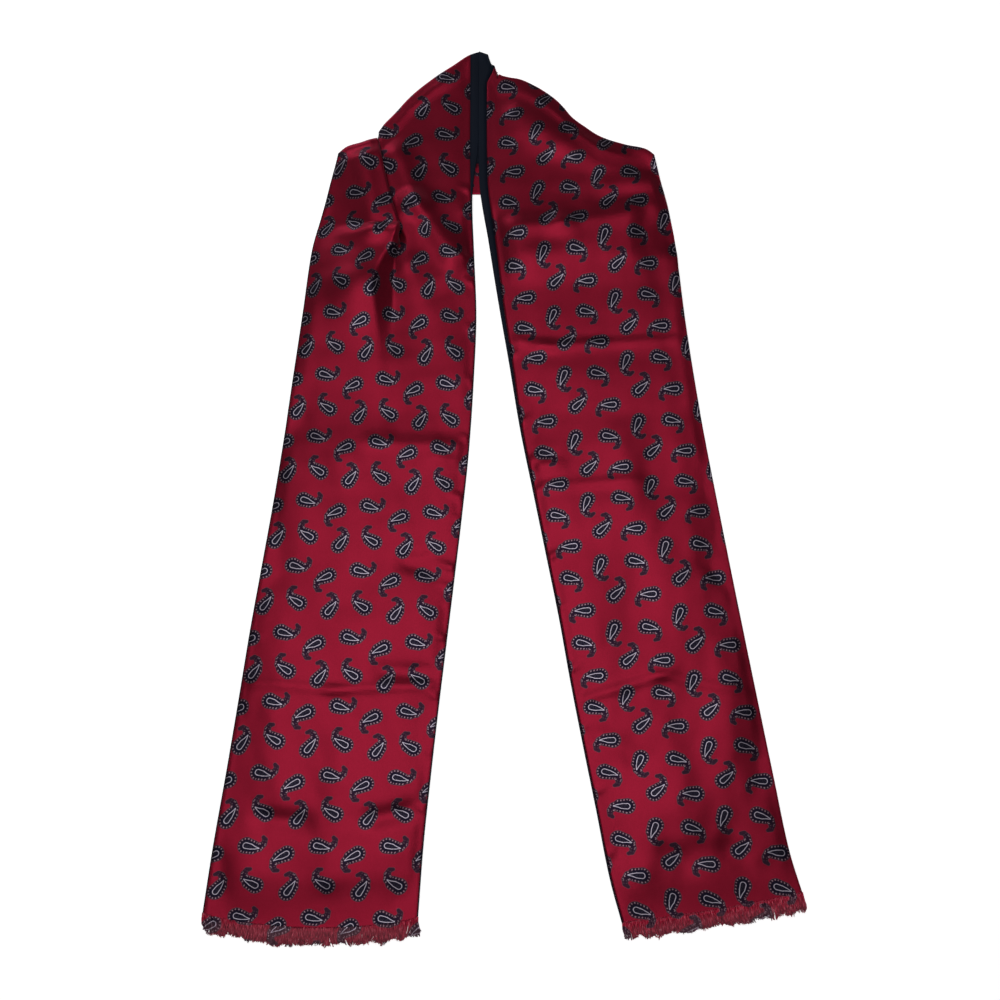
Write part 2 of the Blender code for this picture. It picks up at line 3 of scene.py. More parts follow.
import bpy
import numpy as np
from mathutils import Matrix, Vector


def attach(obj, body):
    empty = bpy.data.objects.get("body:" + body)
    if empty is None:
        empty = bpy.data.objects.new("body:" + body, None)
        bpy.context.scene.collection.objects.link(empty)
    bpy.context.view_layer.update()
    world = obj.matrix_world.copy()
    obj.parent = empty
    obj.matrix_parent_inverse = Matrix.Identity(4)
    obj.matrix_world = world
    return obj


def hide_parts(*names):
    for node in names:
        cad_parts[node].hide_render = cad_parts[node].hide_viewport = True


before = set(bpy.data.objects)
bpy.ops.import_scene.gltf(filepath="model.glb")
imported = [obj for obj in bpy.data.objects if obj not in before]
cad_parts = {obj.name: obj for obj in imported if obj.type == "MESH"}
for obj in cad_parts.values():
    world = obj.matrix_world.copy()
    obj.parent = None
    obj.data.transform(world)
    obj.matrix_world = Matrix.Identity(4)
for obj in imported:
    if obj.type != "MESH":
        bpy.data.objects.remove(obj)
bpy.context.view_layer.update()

# A printed silk scarf with a dark lining, laid flat with both tails coming down over the neck part.
# Lengths are in millimetres and become metres in the meshes. Cloth places are (u, v): u runs across
# from a tail's inner edge, v runs up the tail from its fringed end.
MM = 0.001
CLOTH_WIDTH = 182.0
STRIP_LENGTH = 1728.2           # from one fringed end to the other, along the cloth
SILK_THICK = 0.35
LINING_THICK = 0.45
LAYER = 0.35                    # from the cloth's middle to the middle of the silk or of the lining
HALF = 0.6                      # half the thickness of the laid cloth
FLOOR = HALF
OVER_NECK = 1.6                 # how much higher the tails lie on the neck part
NECK_EDGE = 311.6
STEP_START = NECK_EDGE - 34.0
STEP_END = NECK_EDGE - 11.0
BULGE = 26.0
CENTRE = (1.8, 38.5)
SEAM = 0.2


def table(names, *rows):
    """Rows of numbers under named columns."""
    return dict(zip(names.split(), np.array(rows, float).T))


# Outline of each tail: its inner and outer edge at stations one print repeat apart up the cloth.
LEFT_SECTIONS = table(
    "v      x_in    y_in     x_out    y_out   peek",
    (0, -71.5, -375, -260, -371.5, 2),
    (62.6, -67.5, -313, -253.5, -313, 2),
    (125.2, -62, -255.5, -245, -249, 2),
    (187.8, -56, -198, -237, -185, 2),
    (250.4, -49, -136, -229.5, -122.5, 2),
    (313, -42, -74, -221, -60.5, 2),
    (375.6, -35.5, -15, -212.5, 2, 2),
    (438.2, -29.5, 47, -205, 64.5, 2),
    (500.8, -25.5, 112, -198.5, 125.5, 2),
    (563.4, -23, 182, -192, 186.5, 2),
    (626, -25.5, 248, -185.5, 250, 2),
    (688.6, -27.5, 305.5, -171.5, 310.5, 2.6),
    (751.2, -22, 374.5, -159, 379.5, 9),
    (850, -22, 473.5, -159, 478, 9),
)
RIGHT_SECTIONS = table(
    "v      x_in    y_in     x_out    y_out   peek",
    (0, 106.5, -379.5, 265.5, -354.5, 2),
    (38, 96.5, -342, 255.5, -317.5, 2),
    (100.6, 85.5, -283.5, 245, -255.5, 2),
    (163.2, 74.5, -226.5, 235, -194.5, 2),
    (225.8, 64, -170, 225, -133, 2),
    (288.4, 54, -111, 215, -70.5, 2),
    (351, 42.5, -51.5, 205, -6.5, 2),
    (413.6, 31, 7.5, 196, 52.5, 2.2),
    (476.2, 19, 69, 187.5, 114, 2.6),
    (538.8, 9, 132.5, 180, 178.5, 3.8),
    (601.4, -1, 193, 173.8, 245, 5.2),
    (664, -11, 258.5, 163.5, 310.5, 7.6),
    (726.6, -20.5, 325.5, 152, 368.5, 9),
    (789, -21.5, 387.5, 147.5, 430.5, 9),
    (880, -21.5, 478.5, 146.5, 521.5, 9),
)

# The turned top of each tail: where its outline lies, the turned edge's slope, the turn's radius,
# how far the cloth goes back underneath and how much it slides along the edge.
LEFT_TOP = table(
    "u     reach   angle  radius  back  slip",
    (0, 844.6, 0, 2.2, 4, 0),
    (8, 841.5, 14, 2.2, 7, 0.6),
    (26, 828, 34, 2.2, 10, 1),
    (41, 816.5, 38, 2.2, 10, 1),
    (67, 792.5, 44, 2.2, 10, 1),
    (85, 770.5, 50, 2, 10, 1),
    (95, 759, 54, 1.9, 10, 1),
    (99, 752.5, 56, 1.9, 10, 1),
    (106, 744, 40, 2.2, 10, 1),
    (122, 735, 25, 3, 10, 0.5),
    (137, 738.5, 21, 4.5, 10, 0.3),
    (142.5, 745.5, 21, 4.7, 9, 0.3),
    (152, 743, 21, 4.6, 9, 0.3),
    (160, 740, 21, 4.4, 9, 0.4),
    (174, 735.5, 21, 3.7, 9, 0.6),
    (182, 729, 24, 2.6, 9, 0.8),
)
RIGHT_TOP = table(
    "u     reach   angle  radius  back  slip",
    (0, 870.5, 0, 2, 4, 0),
    (10, 863, 14, 2, 5, 0.3),
    (15, 855, 22, 2, 6, 0.5),
    (20.5, 840.5, 28, 2, 7, 0.7),
    (30, 834, 30, 2.2, 9, 1),
    (42.5, 828.5, 32, 2.2, 10, 1),
    (56, 819, 36, 2.2, 10, 1),
    (80, 796.5, 45, 2.2, 10, 1),
    (89, 784.5, 44, 2.2, 10, 1),
    (96, 773.5, 40, 2.3, 10, 1),
    (110, 758.5, 32, 2.3, 10, 1),
    (125, 744.5, 27, 2.3, 10, 1),
    (151, 729, 22, 2.3, 10, 1),
    (172, 718.5, 22, 2.3, 10, 0.9),
    (183, 705, 26, 2.3, 10, 0.8),
)

# The left shoulder's pleat: where it turns back, by what angle and on what radius, the cloth between
# its turns, its lift, which dies away down the tail, and where its upper layer starts to fall again.
LEFT_PLEAT = table(
    "v      edge   turn   bend  depth  lift  falls",
    (0, 84, 12, 40, 0.5, 0, 122),
    (440, 84, 12, 40, 0.5, 0, 122),
    (480, 83, 12, 36, 1, 0.1, 122),
    (525, 80, 14, 28, 4, 0.4, 122),
    (560, 72, 20, 17, 12, 0.85, 122),
    (590, 65, 28, 12, 19, 1, 121),
    (612, 71, 35, 9, 13, 1, 119),
    (628, 76, 56, 5, 6.5, 1, 117),
    (640, 76, 95, 3.2, 3.8, 1, 116),
    (650, 76, 160, 1.9, 4.8, 1, 117),
    (655, 77, 180, 1.7, 6, 1, 118),
    (688.6, 84, 180, 1.7, 13, 1, 136.7),
    (751, 101, 180, 1.7, 17.5, 1, 167.2),
    (850, 101, 180, 1.7, 17.5, 1, 167.2),
)
PLEAT_FALL = 58.0               # over what width the upper layer comes down
PLEAT_SIDE = 1.5
PLEAT_SHORT = 14.0              # how far short of the turned top the hidden layers stop
PLEAT_EASE = 8.0

# Soft ridges of both layers, from (x0, y0) to (x1, y1), with the height at both ends.
LEFT_RIDGES = table(
    "x0     y0     x1     y1    high0  high1  wide",
    (-96, 300, -92, 235, 1.5, 3.5, 10),
    (-92, 235, -66, 160, 3.5, 1, 16),
    (-50, 400, -40, 240, 0.8, 0.8, 13),
    (-172, 250, -196, 90, 2, 1, 12),
)
RIGHT_RIDGES = table(
    "x0     y0     x1     y1    high0  high1  wide",
    (18, 397, 60, 366, 2, 3, 15),
    (60, 366, 140, 331, 3, 1.5, 16),
    (36, 240, 150, 296, 1, 2, 16),
    (168, 240, 186, 100, 2.5, 1, 12),
)
RIDGE_FADE = 22.0
RIDGE_BLEND = 3

# Smaller creases of the silk alone: a height below 0 is a trough.
SILK_CREASES = table(
    "x0      y0      x1      y1      high   wide",
    (-134, 345, -124, 275, 2.4, 10),
    (-103, 352, -83, 300, 4.5, 13),
    (-83, 300, -46, 246, 4.5, 13),
    (-92, 290, -58, 225, 2, 26),
    (14, 277, 60, 279, 3.6, 12),
    (60, 279, 126, 289, 3, 12),
    (20, 252, 124, 262, 3, 30),
    (110, 318, 150, 322, 1.6, 12),
    (-236, -169, -150, -177, 0.9, 4),
    (-150, -177, -56, -172, 1.3, 4.5),
    (66, -188, 146, -164, 1.3, 4.5),
    (146, -164, 228, -180, 0.9, 4),
    (-104, -159, -72, -161, -2.2, 8),
    (-84, -60, -62, -62, -2.4, 9),
    (-150, -98, -134, -96, -0.9, 11),
    (-205, -290, -180, -292, -2.2, 9),
    (-108, -289, -84, -284, -2.4, 9),
    (-250, -330, -244, -372, -1.4, 11),
    (-84, -368, -70, -372, -1.3, 10),
    (92, -218, 120, -236, -1.6, 11),
    (150, -322, 162, -328, -1.3, 10),
    (204, -318, 220, -330, -1.6, 12),
    (236, -340, 252, -360, -1.5, 12),
    (196, -66, 216, -82, -1.2, 9),
    (14, 158, 44, 152, 1.4, 5),
    (26, 32, 48, 33, 1.6, 6),
    (-119, 56, -36, 51, 1.6, 8),
    (-60, 40, -36, 36, 1.4, 6),
    (44, 152, 92, 154, 1, 5),
    (92, 154, 164, 158, 1, 4.5),
    (40, 12, 122, 18, 1, 4.5),
    (-110, 180, -92, 60, -2, 16),
    (-152, 40, -140, -60, 1.2, 16),
    (-104, 60, -98, -20, 1, 14),
    (112, 60, 146, -70, 1.2, 16),
    (-204, -200, -196, -280, 1, 14),
    (-140, -220, -150, -340, 1.2, 15),
    (150, -215, 168, -300, 1.1, 15),
)

# Puckers of the long seams: where along the tail, which edge (0 inner, 1 outer), how far they reach
# into the silk, and how high they stand.
LEFT_PUCKERS = table(
    "v     edge  reach  high  wide",
    (392, 0, 22, 0.7, 3.2),
    (371, 0, 12, 0.4, 2.4),
    (322, 0, 24, 0.8, 3.4),
    (303, 0, 16, 0.6, 2.8),
    (286, 0, 10, 0.4, 2.2),
    (256, 0, 20, 0.7, 3),
    (203, 0, 18, 0.6, 3),
    (150, 0, 12, 0.4, 2.6),
    (96, 0, 14, 0.5, 2.8),
    (450, 0, 14, 0.5, 2.8),
    (505, 0, 12, 0.5, 2.6),
    (552, 0, 14, 0.5, 2.6),
    (596, 0, 16, 0.6, 2.6),
    (618, 0, 22, 0.8, 3.2),
    (672, 0, 14, 0.6, 2.4),
    (698, 0, 16, 0.7, 2.6),
    (90, 1, 14, 0.5, 2.8),
    (165, 1, 12, 0.4, 2.6),
    (244, 1, 16, 0.5, 2.8),
    (330, 1, 12, 0.4, 2.6),
    (410, 1, 14, 0.5, 2.8),
    (520, 1, 16, 0.5, 3),
)
RIGHT_PUCKERS = table(
    "v     edge  reach  high  wide",
    (482, 0, 16, 0.6, 2.8),
    (443, 0, 20, 0.7, 3.2),
    (413, 0, 14, 0.5, 2.6),
    (346, 0, 22, 0.8, 3.4),
    (296, 0, 14, 0.5, 2.8),
    (238, 0, 16, 0.6, 2.8),
    (180, 0, 12, 0.4, 2.4),
    (118, 0, 16, 0.5, 2.8),
    (60, 0, 12, 0.4, 2.4),
    (548, 0, 14, 0.5, 2.6),
)

# The neck part: its gap to the tails' turned-back cloth, how far in the silk is turned over the
# lining at its lower edge, and how wide its lower corners are rounded, as shares.
NECK_GAP = 0.5
NECK_TURNED_SHARE = 0.7
NECK_SHOULDER = 0.22
LEFT_NECK_STATIONS = (0.5, 9.0, 22.0, 35.0, 48.0, 61.0, 74.0, 87.0, 98.5, 143.5, 156.0, 169.0, 181.0)
RIGHT_NECK_STATIONS = (0.5, 9.0, 23.3, 37.5, 51.8, 66.1, 80.4, 94.6, 108.9, 123.2, 137.5, 149.0, 158.0)


def smooth(t):
    """Ease from 0 to 1."""
    t = np.clip(t, 0.0, 1.0)
    return t * t * (3.0 - 2.0 * t)


def read(rows, column, at):
    """A column's value at places along the table's first column, smooth and without overshoot."""
    keys = next(iter(rows.values()))
    values = rows[column]
    gaps = np.diff(keys)
    slopes = np.diff(values) / gaps
    tangents = np.zeros(len(keys))
    rising = slopes[:-1] * slopes[1:] > 0
    weight_a = 2 * gaps[1:] + gaps[:-1]
    weight_b = gaps[1:] + 2 * gaps[:-1]
    safe_a = np.where(rising, slopes[:-1], 1.0)
    safe_b = np.where(rising, slopes[1:], 1.0)
    mean = (weight_a + weight_b) / (weight_a / safe_a + weight_b / safe_b)
    tangents[1:-1] = np.where(rising, mean, 0.0)
    tangents[0] = slopes[0]
    tangents[-1] = slopes[-1]
    at = np.asarray(at, float)
    cell = np.clip(np.searchsorted(keys, at, side="right") - 1, 0, len(gaps) - 1)
    step = gaps[cell]
    t = (at - keys[cell]) / step
    inside = np.clip(t, 0.0, 1.0)
    result = (values[cell] * (1 + 2 * inside) * (1 - inside) ** 2
              + tangents[cell] * step * inside * (1 - inside) ** 2
              + values[cell + 1] * inside ** 2 * (3 - 2 * inside)
              + tangents[cell + 1] * step * inside ** 2 * (inside - 1))
    before = np.minimum(t, 0.0) * step * tangents[0]
    after = np.maximum(t - 1.0, 0.0) * step * tangents[-1]
    return result + before + after


def pleat_stops(tail, v):
    """The four places across the cloth where the pleat's two turns start and end."""
    turn = np.radians(read(tail["pleat"], "turn", v))
    bend = read(tail["pleat"], "bend", v)
    depth = read(tail["pleat"], "depth", v)
    first = read(tail["pleat"], "edge", v) + depth
    return first, first + bend * turn, first + bend * turn + depth, first + 2 * bend * turn + depth


def pleat_hides(tail, u, v):
    """Whether a place lies under the pleat's upper layer."""
    if tail["pleat"] is None:
        return np.zeros(np.shape(u), bool)
    upper_layer = pleat_stops(tail, v)[3]
    return (u > read(tail["pleat"], "edge", v) - PLEAT_SIDE / 2) & (u < upper_layer - PLEAT_SIDE / 2)


def pleat_swell(tail, u, v):
    """How much of the turned top's swell a place takes: none of it in the pleat's hidden layers."""
    if tail["pleat"] is None:
        return np.ones(np.shape(u))
    below = 1 - smooth((u - read(tail["pleat"], "edge", v) + PLEAT_SIDE) / PLEAT_EASE)
    above = smooth((u - pleat_stops(tail, v)[3]) / PLEAT_EASE)
    return below + above


def pleat_short(tail, u, v):
    """How far short of the turned top a place's cloth stops."""
    if tail["pleat"] is None:
        return np.zeros(np.shape(u))
    _, _, third, fourth = pleat_stops(tail, v)
    inside = (u > read(tail["pleat"], "edge", v) - PLEAT_SIDE / 2) & (u < (third + fourth) / 2 - SEAM)
    return PLEAT_SHORT * inside


def pleat_section(tail, u, v):
    """Where a place across the cloth comes to lie: the way across the section, and the height."""
    if tail["pleat"] is None:
        return u, np.zeros_like(u)
    turn = np.radians(read(tail["pleat"], "turn", v))
    bend = read(tail["pleat"], "bend", v)
    lift = read(tail["pleat"], "lift", v)
    first, second, third, fourth = pleat_stops(tail, v)
    up = np.clip((u - first) / bend, 0.0, turn)
    straight = np.clip(u - second, 0.0, third - second)
    down = np.clip((u - third) / bend, 0.0, turn)
    across = (np.minimum(u, first) + bend * np.sin(up) + straight * np.cos(turn)
              + bend * (np.sin(turn) - np.sin(turn - down)) + np.maximum(u - fourth, 0.0))
    high = bend * (1 - np.cos(up)) + straight * np.sin(turn) + bend * (np.cos(turn - down) - np.cos(turn))
    fall = smooth((u - read(tail["pleat"], "falls", v)) / PLEAT_FALL)
    return u + (across - u) * smooth(lift * 2), high * lift * (1 - fall)


def tail_width(tail, v):
    """Width of the flattened tail in the cloth's own measure."""
    if tail["pleat"] is not None:
        return np.full_like(np.asarray(v, float), CLOTH_WIDTH)
    sections = tail["sections"]
    return np.hypot(read(sections, "x_out", v) - read(sections, "x_in", v),
                    read(sections, "y_out", v) - read(sections, "y_in", v))


def along_line(x, y, x0, y0, x1, y1, wide):
    """Share of a soft crease at places in plan, and how far along it they are."""
    length = math.hypot(x1 - x0, y1 - y0)
    along = ((x - x0) * (x1 - x0) + (y - y0) * (y1 - y0)) / length
    off = ((x - x0) * (y1 - y0) - (y - y0) * (x1 - x0)) / length
    past = np.maximum(-along, along - length)
    return np.exp(-(off / wide) ** 2) * (1 - smooth(past / RIDGE_FADE)), np.clip(along / length, 0.0, 1.0)


def ridges(rows, x, y):
    """Height of the soft ridges at places in plan."""
    total = np.zeros_like(x)
    for x0, y0, x1, y1, high0, high1, wide in zip(*rows.values()):
        share, along = along_line(x, y, x0, y0, x1, y1, wide)
        total += ((high0 + (high1 - high0) * along) * share) ** RIDGE_BLEND
    return total ** (1 / RIDGE_BLEND)


def laid(tail, u, v):
    """The cloth's middle as it lies, before its top is turned under."""
    sections = tail["sections"]
    across, high = pleat_section(tail, u, v)
    edge = np.ones_like(u) * tail_width(tail, v)
    whole, _ = pleat_section(tail, edge, v)
    share = across / whole
    x_in = read(sections, "x_in", v)
    y_in = read(sections, "y_in", v)
    x = x_in + (read(sections, "x_out", v) - x_in) * share
    y = y_in + (read(sections, "y_out", v) - y_in) * share
    step = OVER_NECK * smooth((y - STEP_START) / (STEP_END - STEP_START))
    return np.stack([x, y, FLOOR + step + high + ridges(tail["ridges"], x, y)], -1)


def outward(tail, u):
    """Plan direction out of the turned top edge."""
    angle = np.radians(read(tail["top"], "angle", u))
    return np.stack([tail["side"] * np.sin(angle), np.cos(angle)], -1)


def turn_start(tail, u):
    """Where along the cloth its top starts to turn under, and the cloth's direction there."""
    reach = read(tail["top"], "reach", u)
    direction = (laid(tail, u, reach) - laid(tail, u, reach - 1.0))[..., :2]
    direction /= np.linalg.norm(direction, axis=-1, keepdims=True)
    facing = np.sum(direction * outward(tail, u), -1)
    return reach - read(tail["top"], "radius", u) / facing, direction, facing


def cloth(tail, u, v):
    """The cloth's middle, with its top turned under."""
    u, v = np.broadcast_arrays(np.asarray(u, float), np.asarray(v, float))
    start, direction, facing = turn_start(tail, u)
    radius = read(tail["top"], "radius", u)
    normal = outward(tail, u)
    edge = np.stack([normal[..., 1], -normal[..., 0]], -1)
    flat = laid(tail, u, np.minimum(v, start))
    swell = smooth(1 - (start - v) / BULGE) * pleat_swell(tail, u, np.minimum(v, start))
    top = FLOOR + 2 * radius
    flat[..., 2] += (top - laid(tail, u, start)[..., 2]) * swell
    over = np.maximum(v - start, 0.0)
    run = over * facing
    bent = np.minimum(run / radius, math.pi)
    slide = over * read(tail["top"], "slip", u) * np.sum(direction * edge, -1)
    ahead = radius * np.sin(bent) - np.maximum(run - math.pi * radius, 0.0)
    flat[..., :2] += normal * ahead[..., None] + edge * slide[..., None]
    flat[..., 2] -= radius * (1 - np.cos(bent))
    return flat


LEFT = {"side": -1, "sections": LEFT_SECTIONS, "top": LEFT_TOP, "pleat": LEFT_PLEAT, "ridges": LEFT_RIDGES,
        "puckers": LEFT_PUCKERS, "bow": 11.0, "seed": 11}
RIGHT = {"side": 1, "sections": RIGHT_SECTIONS, "top": RIGHT_TOP, "pleat": None, "ridges": RIGHT_RIDGES,
         "puckers": RIGHT_PUCKERS, "bow": 2.5, "seed": 29}
# The lining of the right tail is turned over more widely at the very top.
RIGHT_FLARE = table(
    "v     extra",
    (0, 0),
    (832, 0),
    (846, 7),
    (858, 10),
    (880, 10),
)
KNOB = (-13.0, 458.0, 3.2, 8.0)  # the small knob of lining there: its place, height and radius
JOINED = 0.35                   # how much the tails' inner edges close up over the neck
LAST_ROW = 655.0                # rows run straight across up to here, and fan out to the turned top above it
EDGE_PLACES = (0.0, 30.0, 60.0, 90.0, 120.0, 150.0, 180.0)
PEEK_ROUND = 0.7                # how much of the lining that shows is its rounded edge
SILK_INSET = 1.1                # how far the silk stops short of the left tail's outer edge

# How fine each sheet is: rows up the tail, rows of the fan, of the turn and of the turned-back cloth,
# then cells across: a plain tail, and the stretches beside, in and past the pleat.
SILK_GRAIN = {"rows": 210, "fan": 64, "turn": 9, "back": 3, "plain": 74,
              "pleat": (36, 6, 8, 6, 8, 22), "rim": 3}
LINING_GRAIN = {"rows": 110, "fan": 34, "turn": 8, "back": 2, "plain": 30,
                "pleat": (16, 3, 7, 3, 7, 10), "rim": 2}


def spread(start, end, count):
    """Places from start up to but not at end."""
    return [start + (end - start) * i / count for i in range(count)]


def peek(tail, v):
    """How far in from the inner edge the lining shows."""
    shown = read(tail["sections"], "peek", v) - PEEK_ROUND
    if tail["side"] > 0:
        shown = shown + read(RIGHT_FLARE, "extra", v)
    return shown


def turned_end(tail, v):
    """Where across the tail the silk's edge meets the lining."""
    width = tail_width(tail, v)
    if tail["pleat"] is not None:
        return width - SILK_INSET
    return width - (CLOTH_WIDTH - width)


def shared_places(tail, v, grain):
    """Places across rows where silk lies over lining, closer together in the pleat's turns."""
    begin = peek(tail, v)
    end = turned_end(tail, v)
    if tail["pleat"] is None:
        return spread(begin, end, grain["plain"]) + [end]
    edge = read(tail["pleat"], "edge", v) - PLEAT_SIDE
    stops = pleat_stops(tail, v)
    bounds = [begin, edge, *stops, end]
    places = []
    for first, last, count in zip(bounds, bounds[1:], grain["pleat"]):
        places += spread(first, last, count)
    return places + [end]


def in_rows(columns):
    """Columns of places as one array with a row for each place up the tail."""
    return np.stack(np.broadcast_arrays(*columns), -1)


def silk_row(tail, v, grain):
    """Places and angles of the silk across rows: over the top, and round under a turned outer edge."""
    places = shared_places(tail, v, grain)
    angles = [0.0] * len(places)
    cloth_u = list(places)
    if tail["pleat"] is None:
        end = places[-1]
        outer = tail_width(tail, v) - HALF
        under = spread(outer, end, 8) + [end]
        more = spread(end, outer, 8)[1:]
        places += more + [outer] * len(EDGE_PLACES) + under[1:]
        angles += [0.0] * len(more) + list(EDGE_PLACES) + [180.0] * len(under[1:])
        cloth_u += more + [outer + LAYER * math.radians(a) for a in EDGE_PLACES]
        cloth_u += [2 * outer - p + math.pi * LAYER for p in under[1:]]
    else:
        places = [places[0]] + places + [places[-1]]
        cloth_u = [cloth_u[0] - 0.4] + cloth_u + [cloth_u[-1] + 0.4]
        angles = [55.0] + angles + [55.0]
    return in_rows(places), np.array(angles), in_rows(cloth_u)


def lining_row(tail, v, grain):
    """Places and angles of the lining across rows: underneath, and round over the long edges."""
    places = shared_places(tail, v, grain)
    inner = HALF - JOINED * smooth((v - 700.0) / 40.0) + 0.0 * places[0]
    begin = places[0] - 0.25
    over = spread(begin, inner, grain["rim"])
    angles = [0.0] * len(over) + list(EDGE_PLACES) + [180.0] * len(places)
    row = over + [inner] * len(EDGE_PLACES) + places
    cloth_u = [-(p - inner) - math.pi * LAYER for p in over]
    cloth_u += [-LAYER * math.radians(180.0 - a) * np.ones_like(inner) for a in EDGE_PLACES] + places
    if tail["pleat"] is not None:
        outer = tail_width(tail, v) - HALF
        row += [outer] * len(EDGE_PLACES) + [places[-1] + 0.25]
        angles += list(EDGE_PLACES[::-1]) + [0.0]
        cloth_u += [outer + LAYER * math.radians(180.0 - a) for a in EDGE_PLACES[::-1]]
        cloth_u += [outer + LAYER * math.pi]
    else:
        row[-1] = row[-1] - 0.25
    return in_rows(row), np.array(angles), in_rows(cloth_u)


def waves(tail, x, y, lengths, count):
    """Gentle uneven swell from a few long waves, about -1 to 1."""
    random = np.random.default_rng(tail["seed"])
    total = np.zeros_like(x)
    for _ in range(count):
        length = random.uniform(*lengths)
        way = random.uniform(0.0, math.pi)
        phase = random.uniform(0.0, 2 * math.pi)
        total += np.sin(2 * math.pi * (x * math.cos(way) + y * math.sin(way)) / length + phase)
    return total / math.sqrt(count)


PLUMP = 1.9                     # how far the silk stands off the lining in the middle of the tail
PLUMP_RUN = 34.0                # how far in from a seam it has risen that much
STAND_OFF = 0.45
SEAM_RUN = 11.0                 # over what width it is held down beside a seam
TOP_RUN = 14.0                  # over what length it comes down to the turned top
END_FALL = 50.0                 # over what length it comes down to the fringed end
PUCKER = 2.4                    # how much the puckers of both tables are raised


def puff(tail, u, v, middle):
    """How far the silk stands off the lining: soft swell, small creases and seam puckers."""
    x, y = middle[..., 0], middle[..., 1]
    width = tail_width(tail, v)
    inner = u - peek(tail, v)
    outer = width - u if tail["pleat"] is None else width - SILK_INSET - u
    near = np.minimum(inner, outer)
    start, _, _ = turn_start(tail, u)
    total = PLUMP * smooth(near / PLUMP_RUN) + STAND_OFF
    total += 0.75 * waves(tail, x, y, (60.0, 190.0), 7) + 0.1 * waves(tail, x, y, (18.0, 40.0), 9)
    for x0, y0, x1, y1, high, wide in zip(*SILK_CREASES.values()):
        share, _ = along_line(x, y, x0, y0, x1, y1, wide)
        total += high * share
    total = np.maximum(total, 0.0) * smooth(near / SEAM_RUN)
    for place, edge, reach, high, wide in zip(*tail["puckers"].values()):
        off = inner if edge < 0.5 else outer
        lean = place + 0.25 * off
        along = np.exp(-((v - lean) / wide) ** 2)
        total += PUCKER * high * along * smooth(1 - off / reach) * smooth(off / 1.5)
    total *= smooth((start - v) / TOP_RUN) * smooth((v + end_bow(tail, u / width)) / END_FALL)
    if tail["pleat"] is None:
        return total
    folded = smooth((read(tail["pleat"], "turn", np.minimum(v, start)) - 60.0) / 60.0)
    return total * (1 - pleat_hides(tail, u, np.minimum(v, start)) * folded)


BOW_RUN = 70.0                  # how far up the tail the bow of its fringed end is felt


def end_bow(tail, share):
    """How much further down the cloth reaches between the corners of its fringed end."""
    share = np.clip(share, 0.0, 1.0)
    return tail["bow"] * (4 * share * (1 - share)) ** 0.8


def tail_sheet(tail, row_function, grain, puffed):
    """One layer of a tail as rows of points, with the print's place at each point, and its cells."""
    straight = np.linspace(0.0, LAST_ROW, grain["rows"])
    places, angles, cloth_u = row_function(tail, straight, grain)
    columns = places.shape[1]
    v = np.repeat(straight[:, None], columns, 1)
    v = v - end_bow(tail, places / tail_width(tail, straight)[:, None]) * (1 - smooth(v / BOW_RUN))
    stages = [("fan", share) for share in np.linspace(0.0, 1.0, grain["fan"] + 1)[1:] ** 0.94]
    stages += [("turn", i / grain["turn"]) for i in range(1, grain["turn"] + 1)]
    stages += [("back", (i + 1) / grain["back"]) for i in range(grain["back"])]
    amount = np.array([share for _, share in stages])[:, None]
    kind = np.array([name for name, _ in stages])[:, None]
    top_u = np.repeat(places[-1:], len(stages), 0)
    top_v = np.full_like(top_u, LAST_ROW)
    top_cloth = np.repeat(cloth_u[-1:], len(stages), 0)
    column = np.arange(columns)
    for _ in range(5):
        start, _, facing = turn_start(tail, top_u)
        radius = read(tail["top"], "radius", top_u)
        back = read(tail["top"], "back", top_u)
        fan_v = LAST_ROW + (start - pleat_short(tail, top_u, np.minimum(top_v, start)) - LAST_ROW) * amount
        turn_v = start + amount * math.pi * radius / facing
        back_v = start + (math.pi * radius + amount * back) / facing
        top_v = np.where(kind == "fan", fan_v, np.where(kind == "turn", turn_v, back_v))
        held = np.minimum(top_v, start)
        again, _, again_cloth = row_function(tail, held.reshape(-1), grain)
        shape = (len(stages), columns, columns)
        top_u = again.reshape(shape)[:, column, column]
        top_cloth = again_cloth.reshape(shape)[:, column, column]
    u = np.concatenate([places, top_u])
    v = np.concatenate([v, top_v])
    cloth_u = np.concatenate([cloth_u, top_cloth])
    step = 0.05
    middle = cloth(tail, u, v)
    across = cloth(tail, u + step, v) - cloth(tail, u - step, v)
    along = cloth(tail, u, v + step) - cloth(tail, u, v - step)
    normal = np.cross(across, along) * tail["side"]
    normal /= np.linalg.norm(normal, axis=-1, keepdims=True)
    across -= normal * np.sum(across * normal, -1, keepdims=True)
    across /= np.linalg.norm(across, axis=-1, keepdims=True)
    across *= np.where(u > CLOTH_WIDTH / 2, 1.0, -1.0)[..., None]
    angle = np.radians(angles)[None, :, None]
    points = middle + LAYER * (np.cos(angle) * normal + np.sin(angle) * across)
    if puffed:
        points += normal * (puff(tail, u, v, middle) * (angles < 1.0))[..., None]
    elif tail["side"] > 0:
        x, y, high, wide = KNOB
        points[..., 2] += high * np.exp(-((points[..., 0] - x) ** 2 + (points[..., 1] - y) ** 2) / wide ** 2)
    start, _, _ = turn_start(tail, u[-1])
    hidden = pleat_hides(tail, u[-1], np.minimum(v[-1], start))
    names = ["straight"] * len(straight) + [name for name, _ in stages]
    cells = []
    for i in range(len(points) - 1):
        open_row = names[i + 1] in ("straight", "fan")
        cells += [(i, j) for j in range(columns - 1) if open_row or not (hidden[j] or hidden[j + 1])]
    return points, print_places(tail, cloth_u, v), cells


